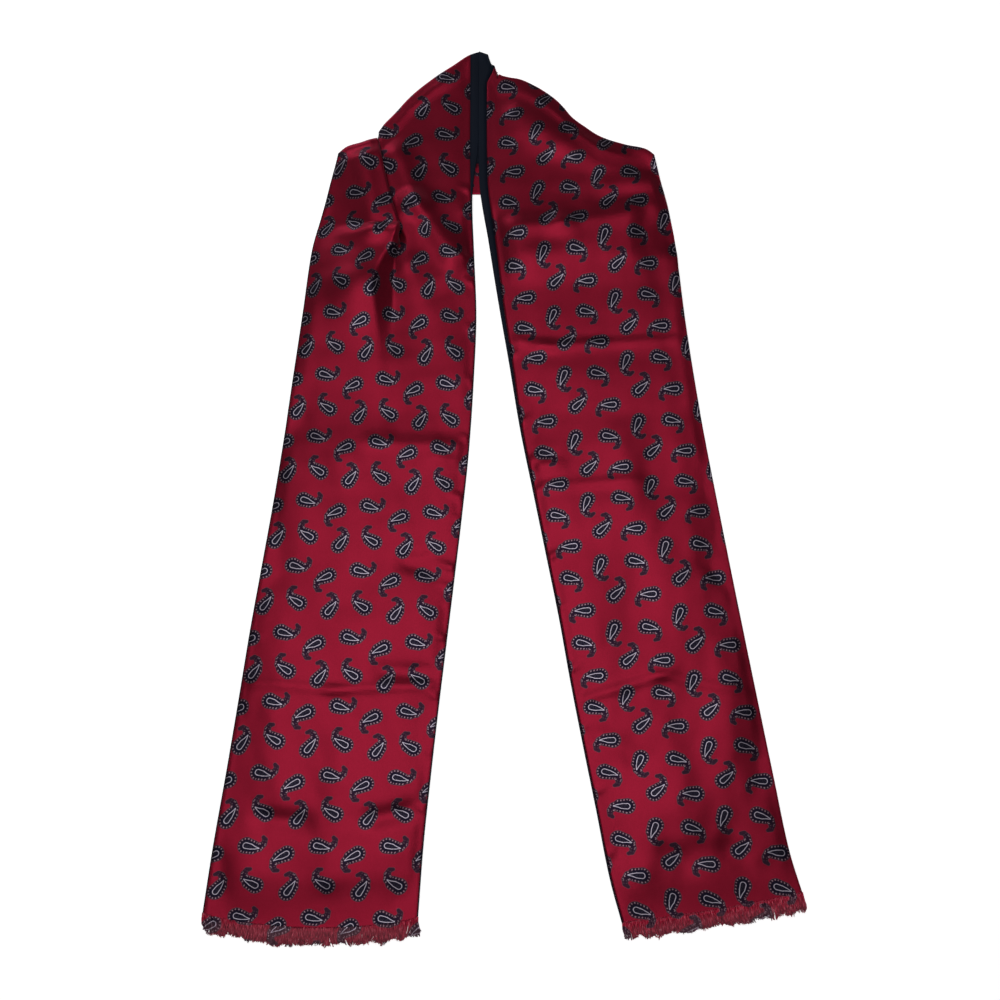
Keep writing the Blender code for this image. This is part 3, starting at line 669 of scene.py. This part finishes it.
# How far the print lies from square to the tails' edges, and how much narrower it is on the right tail.
LEFT_DRIFT = 5.5
LEFT_DRIFT_START = 640.0
LEFT_DRIFT_RUN = 100.0
RIGHT_DRIFT = table(
    "v     drift",
    (0, -3),
    (60, -4),
    (160, -4.5),
    (414, -4),
    (476, -2),
    (601, -1),
    (664, 1),
    (727, 8),
)
RIGHT_SQUEEZE = 61.0 / 62.6


def print_places(tail, u, v):
    """Where a place on a tail lies on the whole printed strip, in millimetres."""
    if tail["side"] < 0:
        shift = LEFT_DRIFT * smooth((v - LEFT_DRIFT_START) / LEFT_DRIFT_RUN)
        return np.stack([shift - u, v], -1)
    shift = np.interp(v, *RIGHT_DRIFT.values())
    return np.stack([(shift - u) * RIGHT_SQUEEZE, STRIP_LENGTH - v], -1)


def neck_ends():
    """Plan points along the neck part's two ends, and how far along the strip they lie."""
    ends = []
    for tail, stations in ((LEFT, LEFT_NECK_STATIONS), (RIGHT, RIGHT_NECK_STATIONS)):
        u = np.array(stations)
        start, _, facing = turn_start(tail, u)
        v = start + (math.pi * read(tail["top"], "radius", u) + read(tail["top"], "back", u)) / facing
        end = cloth(tail, u, v)
        ends.append((end[..., :2] - outward(tail, u) * NECK_GAP, print_places(tail, u, v)))
    return ends


def neck_point(neck, share, way):
    """The neck part's middle in plan: share runs from its upper to its lower edge, way from left to right."""
    ends = []
    for end, _ in neck:
        stations = np.linspace(0.0, 1.0, len(end))
        ends.append(np.stack([np.interp(share, stations, end[:, axis]) for axis in (0, 1)], -1))
    point = ends[0] + (ends[1] - ends[0]) * way[..., None]
    low = ends[0][..., 1] + (ends[1] - ends[0])[..., 1] * way
    drop = smooth(way / NECK_SHOULDER) * smooth((1 - way) / NECK_SHOULDER)
    point[..., 1] -= (low - NECK_EDGE - HALF) * drop * share ** 2
    return point


def neck_sheet(neck, shares, angles, ways):
    """One layer of the neck part as rows of points from left to right, with the print's places."""
    share, way = np.meshgrid(np.array(shares), np.array(ways))
    plan = neck_point(neck, share, way)
    above = neck_point(neck, np.maximum(share - 0.01, 0.0), way)
    low = neck_point(neck, np.minimum(share + 0.01, 1.0), way) - above
    low /= np.linalg.norm(low, axis=-1, keepdims=True)
    angle = np.radians(np.array(angles))[None, :]
    plan = plan + low * (LAYER * np.sin(angle))[..., None]
    high = FLOOR + LAYER * np.cos(angle) + np.zeros_like(share)
    stations = np.linspace(0.0, 1.0, len(neck[0][1]))
    sides = [np.stack([np.interp(share, stations, at[:, axis]) for axis in (0, 1)], -1) for _, at in neck]
    print_at = sides[0] + (sides[1] - sides[0]) * way[..., None]
    points = np.concatenate([plan, high[..., None]], -1)
    cells = [(i, j) for i in range(points.shape[0] - 1) for j in range(points.shape[1] - 1)]
    return points, print_at, cells


def cloth_piece(name, sheet, slot, replaced):
    """A sheet of cloth: the surface with its print map, thickened to both sides."""
    points, print_at, cells = sheet
    thick, look = CLOTHS[slot]
    count = points.shape[1]
    plan = (points.reshape(-1, 3) - np.array([*CENTRE, 0.0])) * MM
    printed = print_at.reshape(-1, 2)
    first = [i * count + j for i, j in cells]
    corners = [[at, at + 1, at + count + 1, at + count] for at in first]
    used = sorted({corner for face in corners for corner in face})
    order = {old: new for new, old in enumerate(used)}
    mesh = bpy.data.meshes.new(name)
    mesh.from_pydata(plan[used].tolist(), [], [[order[corner] for corner in face] for face in corners])
    layer = mesh.uv_layers.new(name="print")
    layer.data.foreach_set("uv", printed[np.array(corners).reshape(-1)].astype(np.float32).reshape(-1))
    mesh.update()
    made = bpy.data.objects.new(name, mesh)
    bpy.context.scene.collection.objects.link(made)
    mesh.materials.append(look)
    mesh.shade_smooth()
    solidify = made.modifiers.new("thickness", "SOLIDIFY")
    solidify.thickness = thick * MM
    solidify.offset = 0.0
    deps = bpy.context.evaluated_depsgraph_get()
    solid = bpy.data.meshes.new_from_object(made.evaluated_get(deps))
    made.modifiers.clear()
    made.data = solid
    bpy.data.meshes.remove(mesh)
    solid.name = name
    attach(made, "root")
    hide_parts(replaced)
    return made


class Recipe:
    """Short ways to add the nodes of a material, a world or a node modifier."""

    def __init__(self, tree):
        self.tree = tree

    def put(self, socket, value):
        if isinstance(value, bpy.types.NodeSocket):
            self.tree.links.new(value, socket)
        else:
            socket.default_value = value

    def node(self, kind, values=(), **settings):
        """A node with its settings, then the values or links of its inputs."""
        made = self.tree.nodes.new(kind)
        for key, value in settings.items():
            setattr(made, key, value)
        for key, value in dict(values).items():
            self.put(made.inputs[key], value)
        return made

    def maths(self, operation, *values, clamp=False):
        return self.node("ShaderNodeMath", enumerate(values), operation=operation, use_clamp=clamp).outputs[0]

    def times(self, a, b, clamp=False):
        return self.maths("MULTIPLY", a, b, clamp=clamp)

    def minus(self, a, b):
        return self.maths("SUBTRACT", a, b)

    def vector(self, operation, *values, scale=None):
        made = self.node("ShaderNodeVectorMath", enumerate(values), operation=operation)
        if scale is not None:
            self.put(made.inputs["Scale"], scale)
        return made.outputs["Value" if operation in ("DOT_PRODUCT", "LENGTH", "DISTANCE") else "Vector"]

    def parts(self, vector):
        """A vector's x, y and z."""
        return self.node("ShaderNodeSeparateXYZ", {0: vector}).outputs

    def mix(self, kind, factor, a, b):
        made = self.node("ShaderNodeMix", data_type=kind)
        ending = {"FLOAT": "_Float", "VECTOR": "_Vector", "RGBA": "_Color"}[kind]
        chosen = {socket.identifier: socket for socket in made.inputs}
        self.put(chosen["Factor_Float"], factor)
        self.put(chosen["A" + ending], a)
        self.put(chosen["B" + ending], b)
        return {socket.identifier: socket for socket in made.outputs}["Result" + ending]

    def fade(self, value, start, end, first, last):
        """From first to last as a value goes from start to end."""
        return self.node("ShaderNodeMapRange", {"Value": value, "From Min": start, "From Max": end,
                                                "To Min": first, "To Max": last}).outputs["Result"]

    def inside(self, distance, soft):
        """1 where a distance is below 0 and 0 above, with a soft edge."""
        return self.fade(distance, -soft, soft, 1.0, 0.0)

    def noise(self, place, scale, detail=2.0, rough=0.5):
        return self.node("ShaderNodeTexNoise", {"Vector": place, "Scale": scale, "Detail": detail,
                                                "Roughness": rough}).outputs["Fac"]

    def random(self, low, high, seed):
        """A random value for each point, even between low and high: numbers, or vectors as tuples."""
        is_vector = isinstance(low, tuple)
        first = 0 if is_vector else 2
        made = self.node("FunctionNodeRandomValue", data_type="FLOAT_VECTOR" if is_vector else "FLOAT")
        self.put(made.inputs[first], low)
        self.put(made.inputs[first + 1], high)
        self.put(made.inputs["Seed"], seed)
        return made.outputs[0 if is_vector else 1]


# The print: four small paisleys to a repeat. Across and up are where a motif's middle lies in the
# repeat, turn is its axis in degrees, and flip is -1 where its tail curls the other way.
REPEAT = (61.0, 62.6)
FIRST_MOTIF = (-26.0, 0.0)
MOTIFS = table(
    "across  up     turn   flip",
    (0, 0, -11, 1),
    (26.8, -10, 211.5, 1),
    (3.7, -31.9, 151, -1),
    (37.2, -36.3, 61, 1),
)
MOTIF_MIDDLE = (5.1, 0.6)
# One paisley as a chain of rounded lengths: where each joint is and how wide the motif is there.
MOTIF_BODY = table(
    "x     y     radius",
    (0, 0, 7.4),
    (6.2, -0.4, 6.3),
    (11.4, 0.5, 4.3),
    (14.6, 3.9, 3.1),
    (14.7, 7.8, 2.5),
    (12.4, 9.8, 1.8),
)
MOTIF_HEART = table(
    "x     y     radius",
    (0, 0, 2.45),
    (4.4, -0.1, 2.2),
    (8.2, -0.4, 1.15),
    (11.8, -0.2, 0.15),
)
DOT_SPACING = 2.75
DOT_DEPTH = 1.45
DOT_LONG = 0.72                 # half a dot's length, towards the motif's middle
DOT_WIDE = 0.5

# Inks of the print, of the threads and of the lining, as linear colours, with a painted highlight colour for
# some threads.
GROUND_DEEP = (0.155, 0.0036, 0.0150, 1.0)
GROUND_BRIGHT = (0.210, 0.0050, 0.0205, 1.0)
INK = (0.0045, 0.0035, 0.0110, 1.0)
INK_CURL = (0.014, 0.0045, 0.0135, 1.0)
INK_EDGE = (0.026, 0.009, 0.017, 1.0)
RIM = (0.21, 0.075, 0.105, 1.0)
DOT = (0.25, 0.155, 0.19, 1.0)
SEED = (0.028, 0.027, 0.036, 1.0)
HEART = (0.36, 0.32, 0.39, 1.0)
TIP = (0.36, 0.16, 0.19, 1.0)
# A painted highlight: pale pink mixed into some of the fringe's threads.
THREAD_HIGHLIGHT = (0.66, 0.34, 0.40, 1.0)
LINING_DEEP = (0.0016, 0.0030, 0.0085, 1.0)
LINING_BRIGHT = (0.0040, 0.0085, 0.019, 1.0)


def chain(make, place, joints):
    """Distance outside a chain of rounded lengths, and the way along it."""
    best, along, gone = None, None, 0.0
    rows = list(zip(*joints.values()))
    for (x0, y0, r0), (x1, y1, r1) in zip(rows, rows[1:]):
        length = math.hypot(x1 - x0, y1 - y0)
        way = (x1 - x0, y1 - y0, 0.0)
        from_joint = make.vector("SUBTRACT", place, (x0, y0, 0.0))
        raw = make.times(make.vector("DOT_PRODUCT", from_joint, way), 1 / length ** 2)
        share = make.maths("MINIMUM", make.maths("MAXIMUM", raw, 0.0), 1.0)
        gap = make.vector("DISTANCE", from_joint, make.vector("SCALE", way, scale=share))
        edge = make.maths("ADD", gap, make.maths("MULTIPLY_ADD", share, r0 - r1, -r0))
        here = make.maths("MULTIPLY_ADD", raw, length, gone)
        if best is None:
            best, along = edge, here
        else:
            nearer = make.times(make.maths("LESS_THAN", edge, best), make.maths("GREATER_THAN", raw, 0.0))
            along = make.mix("FLOAT", nearer, along, here)
            best = make.maths("MINIMUM", edge, best)
        gone += length
    return best, make.maths("MAXIMUM", along, 0.0)


def paisley_print(make, place, ground):
    """The ground colour with the paisleys printed on it."""
    best, nearest = None, None
    half = (REPEAT[0] / 2, REPEAT[1] / 2, 1.0)
    low = (-REPEAT[0] / 2, -REPEAT[1] / 2, -1.0)
    for across, up, turn, flip in zip(*MOTIFS.values()):
        at = (FIRST_MOTIF[0] + across, FIRST_MOTIF[1] + up, 0.0)
        local = make.vector("WRAP", make.vector("SUBTRACT", place, at), half, low)
        turned = make.node("ShaderNodeVectorRotate", {"Vector": local, "Angle": -math.radians(turn)},
                           rotation_type="Z_AXIS")
        own = make.vector("MULTIPLY", turned.outputs["Vector"], (1.0, flip, 1.0))
        gap = make.vector("LENGTH", local)
        if best is None:
            best, nearest = own, gap
        else:
            nearer = make.maths("LESS_THAN", gap, nearest)
            best = make.mix("VECTOR", nearer, best, own)
            nearest = make.maths("MINIMUM", gap, nearest)
    motif = make.vector("ADD", best, (*MOTIF_MIDDLE, 0.0))
    body, along = chain(make, motif, MOTIF_BODY)
    heart, _ = chain(make, motif, MOTIF_HEART)
    x, y, _ = make.parts(motif)
    cap = make.maths("ARCTAN2", make.maths("ABSOLUTE", y), make.times(x, -1.0))
    round_cap = make.times(make.maths("MINIMUM", cap, math.pi / 2), MOTIF_BODY["radius"][0] - DOT_DEPTH)
    way = make.maths("ADD", round_cap, along)
    off = make.minus(make.maths("FRACT", make.maths("DIVIDE", way, DOT_SPACING)), 0.5)
    down = make.times(make.maths("ADD", body, DOT_DEPTH), 1 / DOT_LONG)
    from_dot = make.node("ShaderNodeCombineXYZ", {0: make.times(off, DOT_SPACING / DOT_WIDE), 1: down})
    dot_gap = make.vector("LENGTH", from_dot.outputs[0])
    dots = make.times(make.inside(make.minus(dot_gap, 1.0), 0.35),
                      make.times(make.minus(20.0, along), 0.2, clamp=True))
    rim = make.inside(make.minus(make.maths("ABSOLUTE", make.maths("ADD", body, 0.1)), 0.18), 0.2)
    outline = make.inside(make.minus(make.maths("ABSOLUTE", heart), 0.28), 0.18)
    seeds = make.noise(motif, 0.75, 1.0)
    marks = make.times(make.inside(make.maths("ADD", heart, 0.95), 0.25),
                       make.times(make.minus(seeds, 0.45), 6.0, clamp=True))
    curl = make.times(make.minus(along, 9.0), 0.12, clamp=True)
    navy = make.mix("RGBA", curl, INK, INK_CURL)
    band = make.inside(make.minus(-2.2, body), 0.5)
    inked = make.mix("RGBA", make.times(band, 0.6), navy, INK_EDGE)
    colour = make.mix("RGBA", make.inside(body, 0.3), ground, inked)
    colour = make.mix("RGBA", make.times(rim, 0.28), colour, RIM)
    colour = make.mix("RGBA", make.times(dots, 0.8), colour, DOT)
    colour = make.mix("RGBA", make.times(marks, 0.4), colour, SEED)
    return make.mix("RGBA", outline, colour, HEART)


def new_look(name, **values):
    """A material with its surface's plain values, the ways to add to it, and its surface."""
    made = bpy.data.materials.new(name)
    made.use_nodes = True
    surface = made.node_tree.nodes["Principled BSDF"]
    for key, value in values.items():
        surface.inputs[key.replace("_", " ")].default_value = value
    return made, Recipe(made.node_tree), surface


def places(make):
    """A place on the printed strip, in millimetres, and in space, in metres."""
    strip = make.node("ShaderNodeUVMap", uv_map="print").outputs["UV"]
    return strip, make.node("ShaderNodeTexCoord").outputs["Object"]


def relief(make, surface, height, strength, deep):
    """The fine relief of a weave."""
    bump = make.node("ShaderNodeBump", {"Strength": strength, "Distance": deep, "Height": height})
    make.put(surface.inputs["Normal"], bump.outputs["Normal"])


def twill(make, place, pitch):
    """Height of fine slanting twill lines, 0 to 1."""
    slant = make.vector("DOT_PRODUCT", place, (0.72, 0.69, 0.0))
    wave = make.maths("SINE", make.times(slant, 2 * math.pi / pitch))
    return make.maths("MULTIPLY_ADD", wave, 0.5, 0.5)


def silk_look(name, ends):
    """Printed silk twill. In the fringe it breaks up into threads with dull tips, streaked with painted
    highlights.
    """
    made, make, surface = new_look(
        name, Metallic=0.2 if ends else 0.8, Roughness=0.6 if ends else 0.39,
        Specular_IOR_Level=0.06, Specular_Tint=(1.0, 0.8, 0.88, 1.0), Sheen_Weight=0.25 if ends else 0.14,
        Sheen_Roughness=0.45, Sheen_Tint=(0.95, 0.45, 0.6, 1.0), Coat_Weight=0.05, Coat_Roughness=0.5)
    place, spot = places(make)
    fine = make.noise(place, 1.1, 3.0, 0.65)
    lines = twill(make, place, 0.62)
    printed = paisley_print(make, place, make.mix("RGBA", make.noise(spot, 9.0), GROUND_DEEP, GROUND_BRIGHT))
    grain = make.maths("MULTIPLY_ADD", make.maths("ADD", make.times(lines, 0.5), fine), 0.3, 0.78)
    slubs = make.maths("MULTIPLY_ADD", make.noise(place, 0.45, 2.0, 0.6), 0.24, 0.88)
    colour = make.vector("SCALE", printed, scale=make.times(grain, slubs))
    if ends:
        along = make.parts(place)[1]
        beyond = make.maths("MAXIMUM", make.times(along, -1.0), make.minus(along, STRIP_LENGTH))
        tip = make.times(make.minus(beyond, 3.0), 0.11, clamp=True)
        # Painted highlight streaks along the threads: a noise drawn out along them brightens some threads and
        # darkens others.
        highlight_strands = make.noise(make.vector("MULTIPLY", place, (1.0, 0.12, 1.0)), 1.5, 2.0, 0.7)
        highlight_streaks = make.maths("MULTIPLY_ADD", make.minus(highlight_strands, 0.42), 9.0, 1.2)
        colour = make.vector("SCALE", colour, scale=make.maths("MAXIMUM", highlight_streaks, 0.5))
        # The brightest streaks get a pale pink painted highlight.
        pale = make.times(make.minus(highlight_strands, 0.55), 6.0, clamp=True)
        colour = make.mix("RGBA", make.times(pale, 0.5), colour, THREAD_HIGHLIGHT)
        colour = make.mix("RGBA", make.times(tip, 0.22), colour, TIP)
    make.put(surface.inputs["Base Color"], colour)
    relief(make, surface, make.maths("ADD", lines, make.times(fine, 0.6)), 0.22, 0.00012)
    return made


def lining_look():
    """Plain dark navy lining cloth in a fine weave."""
    made, make, surface = new_look("navy_lining", Roughness=0.72, Specular_IOR_Level=0.12, Sheen_Weight=0.03,
                                   Sheen_Tint=(0.4, 0.6, 0.8, 1.0))
    place, spot = places(make)
    weave = make.maths("ADD", twill(make, place, 0.8), make.noise(place, 1.6, 3.0, 0.65))
    base = make.mix("RGBA", make.noise(spot, 14.0, 3.0), LINING_DEEP, LINING_BRIGHT)
    grain = make.maths("MULTIPLY_ADD", weave, 0.35, 0.65)
    make.put(surface.inputs["Base Color"], make.vector("SCALE", base, scale=grain))
    relief(make, surface, weave, 0.05, 0.0002)
    return made


silk = silk_look("printed_silk_twill", False)
threads = silk_look("fringe_threads", True)
CLOTHS = {"silk": (SILK_THICK, silk), "lining": (LINING_THICK, lining_look())}

for side, tail in (("left", LEFT), ("right", RIGHT)):
    sheet = tail_sheet(tail, silk_row, SILK_GRAIN, True)
    cloth_piece("printed_silk_" + side, sheet, "silk", f"silk_{side}_tail")
    sheet = tail_sheet(tail, lining_row, LINING_GRAIN, False)
    cloth_piece("navy_lining_" + side, sheet, "lining", f"lining_{side}_tail")

# The neck part's silk runs over its lower edge, and its lining lies on it inside that.
neck = neck_ends()
shares = list(np.linspace(0.0, 1.0, 61))
over = list(np.linspace(1.0, NECK_TURNED_SHARE, 14))
angles = [180.0] * len(shares) + [144.0, 108.0, 72.0, 36.0] + [0.0] * len(over)
sheet = neck_sheet(neck, shares + [1.0] * 4 + over, angles, np.linspace(0.0, 1.0, 71))
cloth_piece("printed_silk_neck", sheet, "silk", "silk_neck")
shares = np.linspace(0.0, NECK_TURNED_SHARE - 0.002, 31)
sheet = neck_sheet(neck, shares, [0.0] * len(shares), np.linspace(0.0, 1.0, 41))
cloth_piece("navy_lining_neck", sheet, "lining", "lining_neck")


def growing_tree(name, numbers, seed, way):
    """A node modifier's tree for things laid at points, the ways to add to it, and its named inputs."""
    tree = bpy.data.node_groups.new(name, "GeometryNodeTree")
    kinds = [("Geometry", "Geometry", None)] + [(key, "Float", value) for key, value in numbers.items()]
    kinds += [("Seed", "Int", seed), ("Way", "Vector", way), ("Look", "Material", None)]
    for key, kind, value in kinds:
        socket = tree.interface.new_socket(key, in_out="INPUT", socket_type="NodeSocket" + kind)
        if value is not None:
            socket.default_value = value
    tree.interface.new_socket("Geometry", in_out="OUTPUT", socket_type="NodeSocketGeometry")
    make = Recipe(tree)
    return tree, make, make.node("NodeGroupInput").outputs


def lay(make, given, thing, lean_low, lean_high, size=(1.0, 1.0, 1.0)):
    """A thing laid at every point along the given way, with a random lean."""
    way = make.vector("ADD", given["Way"], make.random(lean_low, lean_high, given["Seed"]))
    aim = make.node("FunctionNodeAlignRotationToVector", {"Vector": way}, axis="Z")
    copies = make.node("GeometryNodeInstanceOnPoints", {
        "Points": given["Geometry"], "Instance": thing, "Rotation": aim.outputs["Rotation"], "Scale": size})
    real = make.node("GeometryNodeRealizeInstances", {"Geometry": copies.outputs["Instances"]})
    return real.outputs["Geometry"]


def paint(make, given, shape):
    """End a tree with the shape in its look."""
    made = make.node("GeometryNodeSetMaterial", {"Geometry": shape, "Material": given["Look"]})
    make.node("NodeGroupOutput", {"Geometry": made.outputs["Geometry"]})


def fringe_tree():
    """Threads along a line of roots: each is a slim cone laid outwards, and neighbours sway alike."""
    numbers = {"Thread length": 0.0115, "Thread radius": 0.00022, "Sway": 0.0022}
    tree, make, given = growing_tree("loose_threads", numbers, 3, (0.0, -1.0, 0.0))
    cone = make.node("GeometryNodeMeshCone", {"Vertices": 3, "Side Segments": 5, "Radius Top": 0.8,
                                              "Radius Bottom": 1.0, "Depth": 1.0})
    height = make.parts(make.node("GeometryNodeInputPosition").outputs[0])[2]
    named = {"Geometry": cone.outputs["Mesh"], "Name": "way_out", "Value": height}
    thread = make.node("GeometryNodeStoreNamedAttribute", named, data_type="FLOAT", domain="POINT")
    clump = make.node("ShaderNodeTexNoise", {"Scale": 95.0, "Detail": 1.0}).outputs["Fac"]
    ragged = make.times(make.random(0.9, 1.04, make.maths("ADD", given["Seed"], 7)),
                        make.maths("MULTIPLY_ADD", clump, 0.7, 0.65))
    radius = given["Thread radius"]
    length = make.times(given["Thread length"], ragged)
    size = make.node("ShaderNodeCombineXYZ", {0: radius, 1: radius, 2: length}).outputs[0]
    real = lay(make, given, thread.outputs["Geometry"], (-0.08, -0.08, -0.04), (0.08, 0.08, 0.08), size)
    mark = make.node("GeometryNodeInputNamedAttribute", {"Name": "way_out"}, data_type="FLOAT")
    out = mark.outputs["Attribute"]
    drift = make.node("ShaderNodeTexNoise", {"Scale": 130.0, "Detail": 1.0}).outputs["Color"]
    swayed = make.vector("SCALE", make.vector("SUBTRACT", drift, (0.5, 0.5, 0.5)), scale=4.0)
    offset = make.vector("SCALE", make.vector("MULTIPLY", swayed, (1.0, 0.7, 0.12)),
                         scale=make.times(make.times(out, out), given["Sway"]))
    moved = make.node("GeometryNodeSetPosition", {"Geometry": real, "Offset": offset})
    smoothed = make.node("GeometryNodeSetShadeSmooth", {"Geometry": moved.outputs["Geometry"]})
    paint(make, given, smoothed.outputs["Geometry"])
    return tree


def grown(name, points, tree, look, **values):
    """A plain mesh grown by a node tree from a set of points."""
    mesh = bpy.data.meshes.new(name)
    mesh.from_pydata([tuple(p) for p in points], [], [])
    made = bpy.data.objects.new(name, mesh)
    bpy.context.scene.collection.objects.link(made)
    modifier = made.modifiers.new("grow", "NODES")
    modifier.node_group = tree
    named = {item.name: item.identifier for item in tree.interface.items_tree if item.item_type == "SOCKET"
             and item.in_out == "INPUT"}
    for key, value in {"Look": look, **values}.items():
        modifier[named[key.replace("_", " ")]] = value
    deps = bpy.context.evaluated_depsgraph_get()
    result = bpy.data.meshes.new_from_object(made.evaluated_get(deps))
    made.modifiers.clear()
    made.data = result
    bpy.data.meshes.remove(mesh)
    result.name = name
    return made


loose = fringe_tree()
THREADS_PER_END = 1400


def add_fringe(name, tail, replaced):
    """One end's fringe, with the print running on into the threads."""
    width = float(tail_width(tail, 0.0))
    ends = laid(tail, np.array([0.0, width]), np.zeros(2))[:, :2] - np.array(CENTRE)
    length = float(np.linalg.norm(ends[1] - ends[0]))
    along = (ends[1] - ends[0]) / length
    out = np.array([along[1], -along[0]]) * tail["side"]
    random = np.random.default_rng(tail["seed"] + 100)
    at = (np.arange(THREADS_PER_END) + random.uniform(0.1, 0.9, THREADS_PER_END)) / THREADS_PER_END * length
    back = random.uniform(0.2, 1.4, THREADS_PER_END) - end_bow(tail, at / length)
    high = FLOOR + random.uniform(-0.35, 0.45, THREADS_PER_END)
    # Every other thread starts further back on top of the silk, where the cloth frays.
    back[::2] += random.uniform(0.6, 2.2, len(back[::2]))
    high[::2] = FLOOR + LAYER + SILK_THICK / 2 + random.uniform(0.1, 0.25, len(high[::2]))
    roots = ends[0] + along * at[:, None] - out * back[:, None]
    points = np.column_stack([roots, high]) * MM
    made = grown(name, points, loose, threads, Thread_length=0.0130, Thread_radius=0.00042, Sway=0.0030,
                 Seed=int(tail["seed"]), Way=(float(out[0]), float(out[1]), -0.02))
    mesh = made.data
    place = np.zeros(len(mesh.vertices) * 3)
    mesh.vertices.foreach_get("co", place)
    place = place.reshape(-1, 3)
    place[:, 2] = np.maximum(place[:, 2], 0.00012)
    mesh.vertices.foreach_set("co", place.reshape(-1))
    flat = place[:, :2] / MM - ends[0]
    u = flat @ along
    v = -(flat @ out)
    at = print_places(tail, u, v)
    loops = np.zeros(len(mesh.loops), np.int32)
    mesh.loops.foreach_get("vertex_index", loops)
    layer = mesh.uv_layers.new(name="print")
    layer.data.foreach_set("uv", at[loops].astype(np.float32).reshape(-1))
    mesh.uv_layers.active = layer
    if "way_out" in mesh.attributes:
        mesh.attributes.remove(mesh.attributes["way_out"])
    mesh.update()
    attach(made, "root")
    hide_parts(replaced)
    return made


def stitch_tree():
    """Short slip stitches along a seam, each across it and a little uneven."""
    numbers = {"Stitch length": 0.0017, "Stitch radius": 0.00016}
    tree, make, given = growing_tree("slip_stitches", numbers, 5, (1.0, 0.0, 0.0))
    bar = make.node("GeometryNodeMeshCylinder", {"Vertices": 6, "Radius": given["Stitch radius"],
                                                 "Depth": given["Stitch length"]})
    paint(make, given, lay(make, given, bar.outputs["Mesh"], (-0.12, -0.12, -0.03), (0.12, 0.12, 0.03)))
    return tree


def thread_look():
    """Dark crimson sewing thread."""
    made, make, surface = new_look("sewing_thread", Roughness=0.55, Sheen_Weight=0.1)
    shade = make.noise(make.node("ShaderNodeTexCoord").outputs["Object"], 700.0)
    colour = make.mix("RGBA", shade, (0.035, 0.003, 0.008, 1.0), (0.09, 0.006, 0.016, 1.0))
    make.put(surface.inputs["Base Color"], colour)
    return made


STITCH_PITCH = 4.4
stitches = stitch_tree()
sewing_thread = thread_look()


def add_stitches(name, tail):
    """Slip stitches where the silk's edge meets the lining, along the edges that show from above."""
    random = np.random.default_rng(tail["seed"] + 200)
    v = np.arange(14.0, 636.0, STITCH_PITCH)
    v = v + random.uniform(-0.5, 0.5, len(v))
    edges = [peek(tail, v)] if tail["pleat"] is None else [peek(tail, v), turned_end(tail, v)]
    roots = np.concatenate([cloth(tail, u, v) for u in edges])
    roots[:, 2] += LAYER + SILK_THICK / 2
    points = (roots - np.array([*CENTRE, 0.0])) * MM
    ends = laid(tail, np.array([20.0, 120.0]), np.full(2, 300.0))[:, :2]
    across = (ends[1] - ends[0]) / np.linalg.norm(ends[1] - ends[0])
    made = grown(name, points, stitches, sewing_thread, Seed=int(tail["seed"]),
                 Way=(float(across[0]), float(across[1]) + 0.35, 0.0))
    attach(made, "root")
    return made


add_stitches("slip_stitches_left", LEFT)
add_stitches("slip_stitches_right", RIGHT)
add_fringe("fringe_threads_left", LEFT, "fringe_left_end")
add_fringe("fringe_threads_right", RIGHT, "fringe_right_end")


def floor():
    """A plain pale floor that reaches out of view on all sides."""
    bpy.ops.mesh.primitive_plane_add(size=12.0, location=(0.0, 0.0, -0.0002))
    made = bpy.context.object
    made.name = "pale_floor"
    look, make, surface = new_look("pale_floor", Roughness=0.9, Emission_Color=(1.0, 1.0, 1.0, 1.0),
                                   Emission_Strength=0.55)
    cloudy = make.noise(make.node("ShaderNodeTexCoord").outputs["Object"], 3.0)
    colour = make.mix("RGBA", cloudy, (0.86, 0.86, 0.87, 1.0), (0.88, 0.88, 0.88, 1.0))
    make.put(surface.inputs["Base Color"], colour)
    made.data.materials.append(look)


def soft_light(name, place, target, size, power, colour):
    """A large soft light aimed at a place."""
    data = bpy.data.lights.new(name, "AREA")
    data.shape = "RECTANGLE"
    data.size, data.size_y = size
    data.energy = power
    data.color = colour
    made = bpy.data.objects.new(name, data)
    bpy.context.scene.collection.objects.link(made)
    made.location = place
    made.rotation_euler = (Vector(target) - Vector(place)).to_track_quat("-Z", "Y").to_euler()


floor()
soft_light("overhead", (-0.14, -0.02, 2.2), (0.0, 0.0, 0.0), (1.8, 1.8), 29.0, (1.0, 0.99, 0.98))
soft_light("window", (-1.1, 2.2, 1.2), (-0.1, 0.2, 0.0), (1.1, 0.8), 13.0, (0.97, 0.98, 1.0))


def studio(dim, pale, low, high):
    """Dim studio air that turns pale low down, where it shows beyond the floor."""
    world = bpy.data.worlds.new("studio")
    bpy.context.scene.world = world
    world.use_nodes = True
    make = Recipe(world.node_tree)
    air = world.node_tree.nodes["Background"]
    air.inputs["Color"].default_value = (0.95, 0.97, 1.0, 1.0)
    height = make.parts(make.node("ShaderNodeTexCoord").outputs["Generated"])[2]
    make.put(air.inputs["Strength"], make.fade(height, low, high, pale, dim))


studio(dim=0.05, pale=0.62, low=0.04, high=0.24)

# The camera looks almost straight down, tilted a little towards the neck, as in the photo.
TILT = math.radians(12.6)
CAMERA_HIGH = 1.1285
lens = bpy.data.cameras.new("camera")
lens.sensor_width = 36.0
lens.lens = 43.2
camera = bpy.data.objects.new("camera", lens)
bpy.context.scene.collection.objects.link(camera)
back = CENTRE[1] * MM + CAMERA_HIGH * math.sin(TILT)
camera.location = (-CENTRE[0] * MM, -back, CAMERA_HIGH * math.cos(TILT))
camera.rotation_euler = (TILT, 0.0, 0.0)
bpy.context.scene.camera = camera
bpy.context.scene.view_settings.view_transform = "Standard"
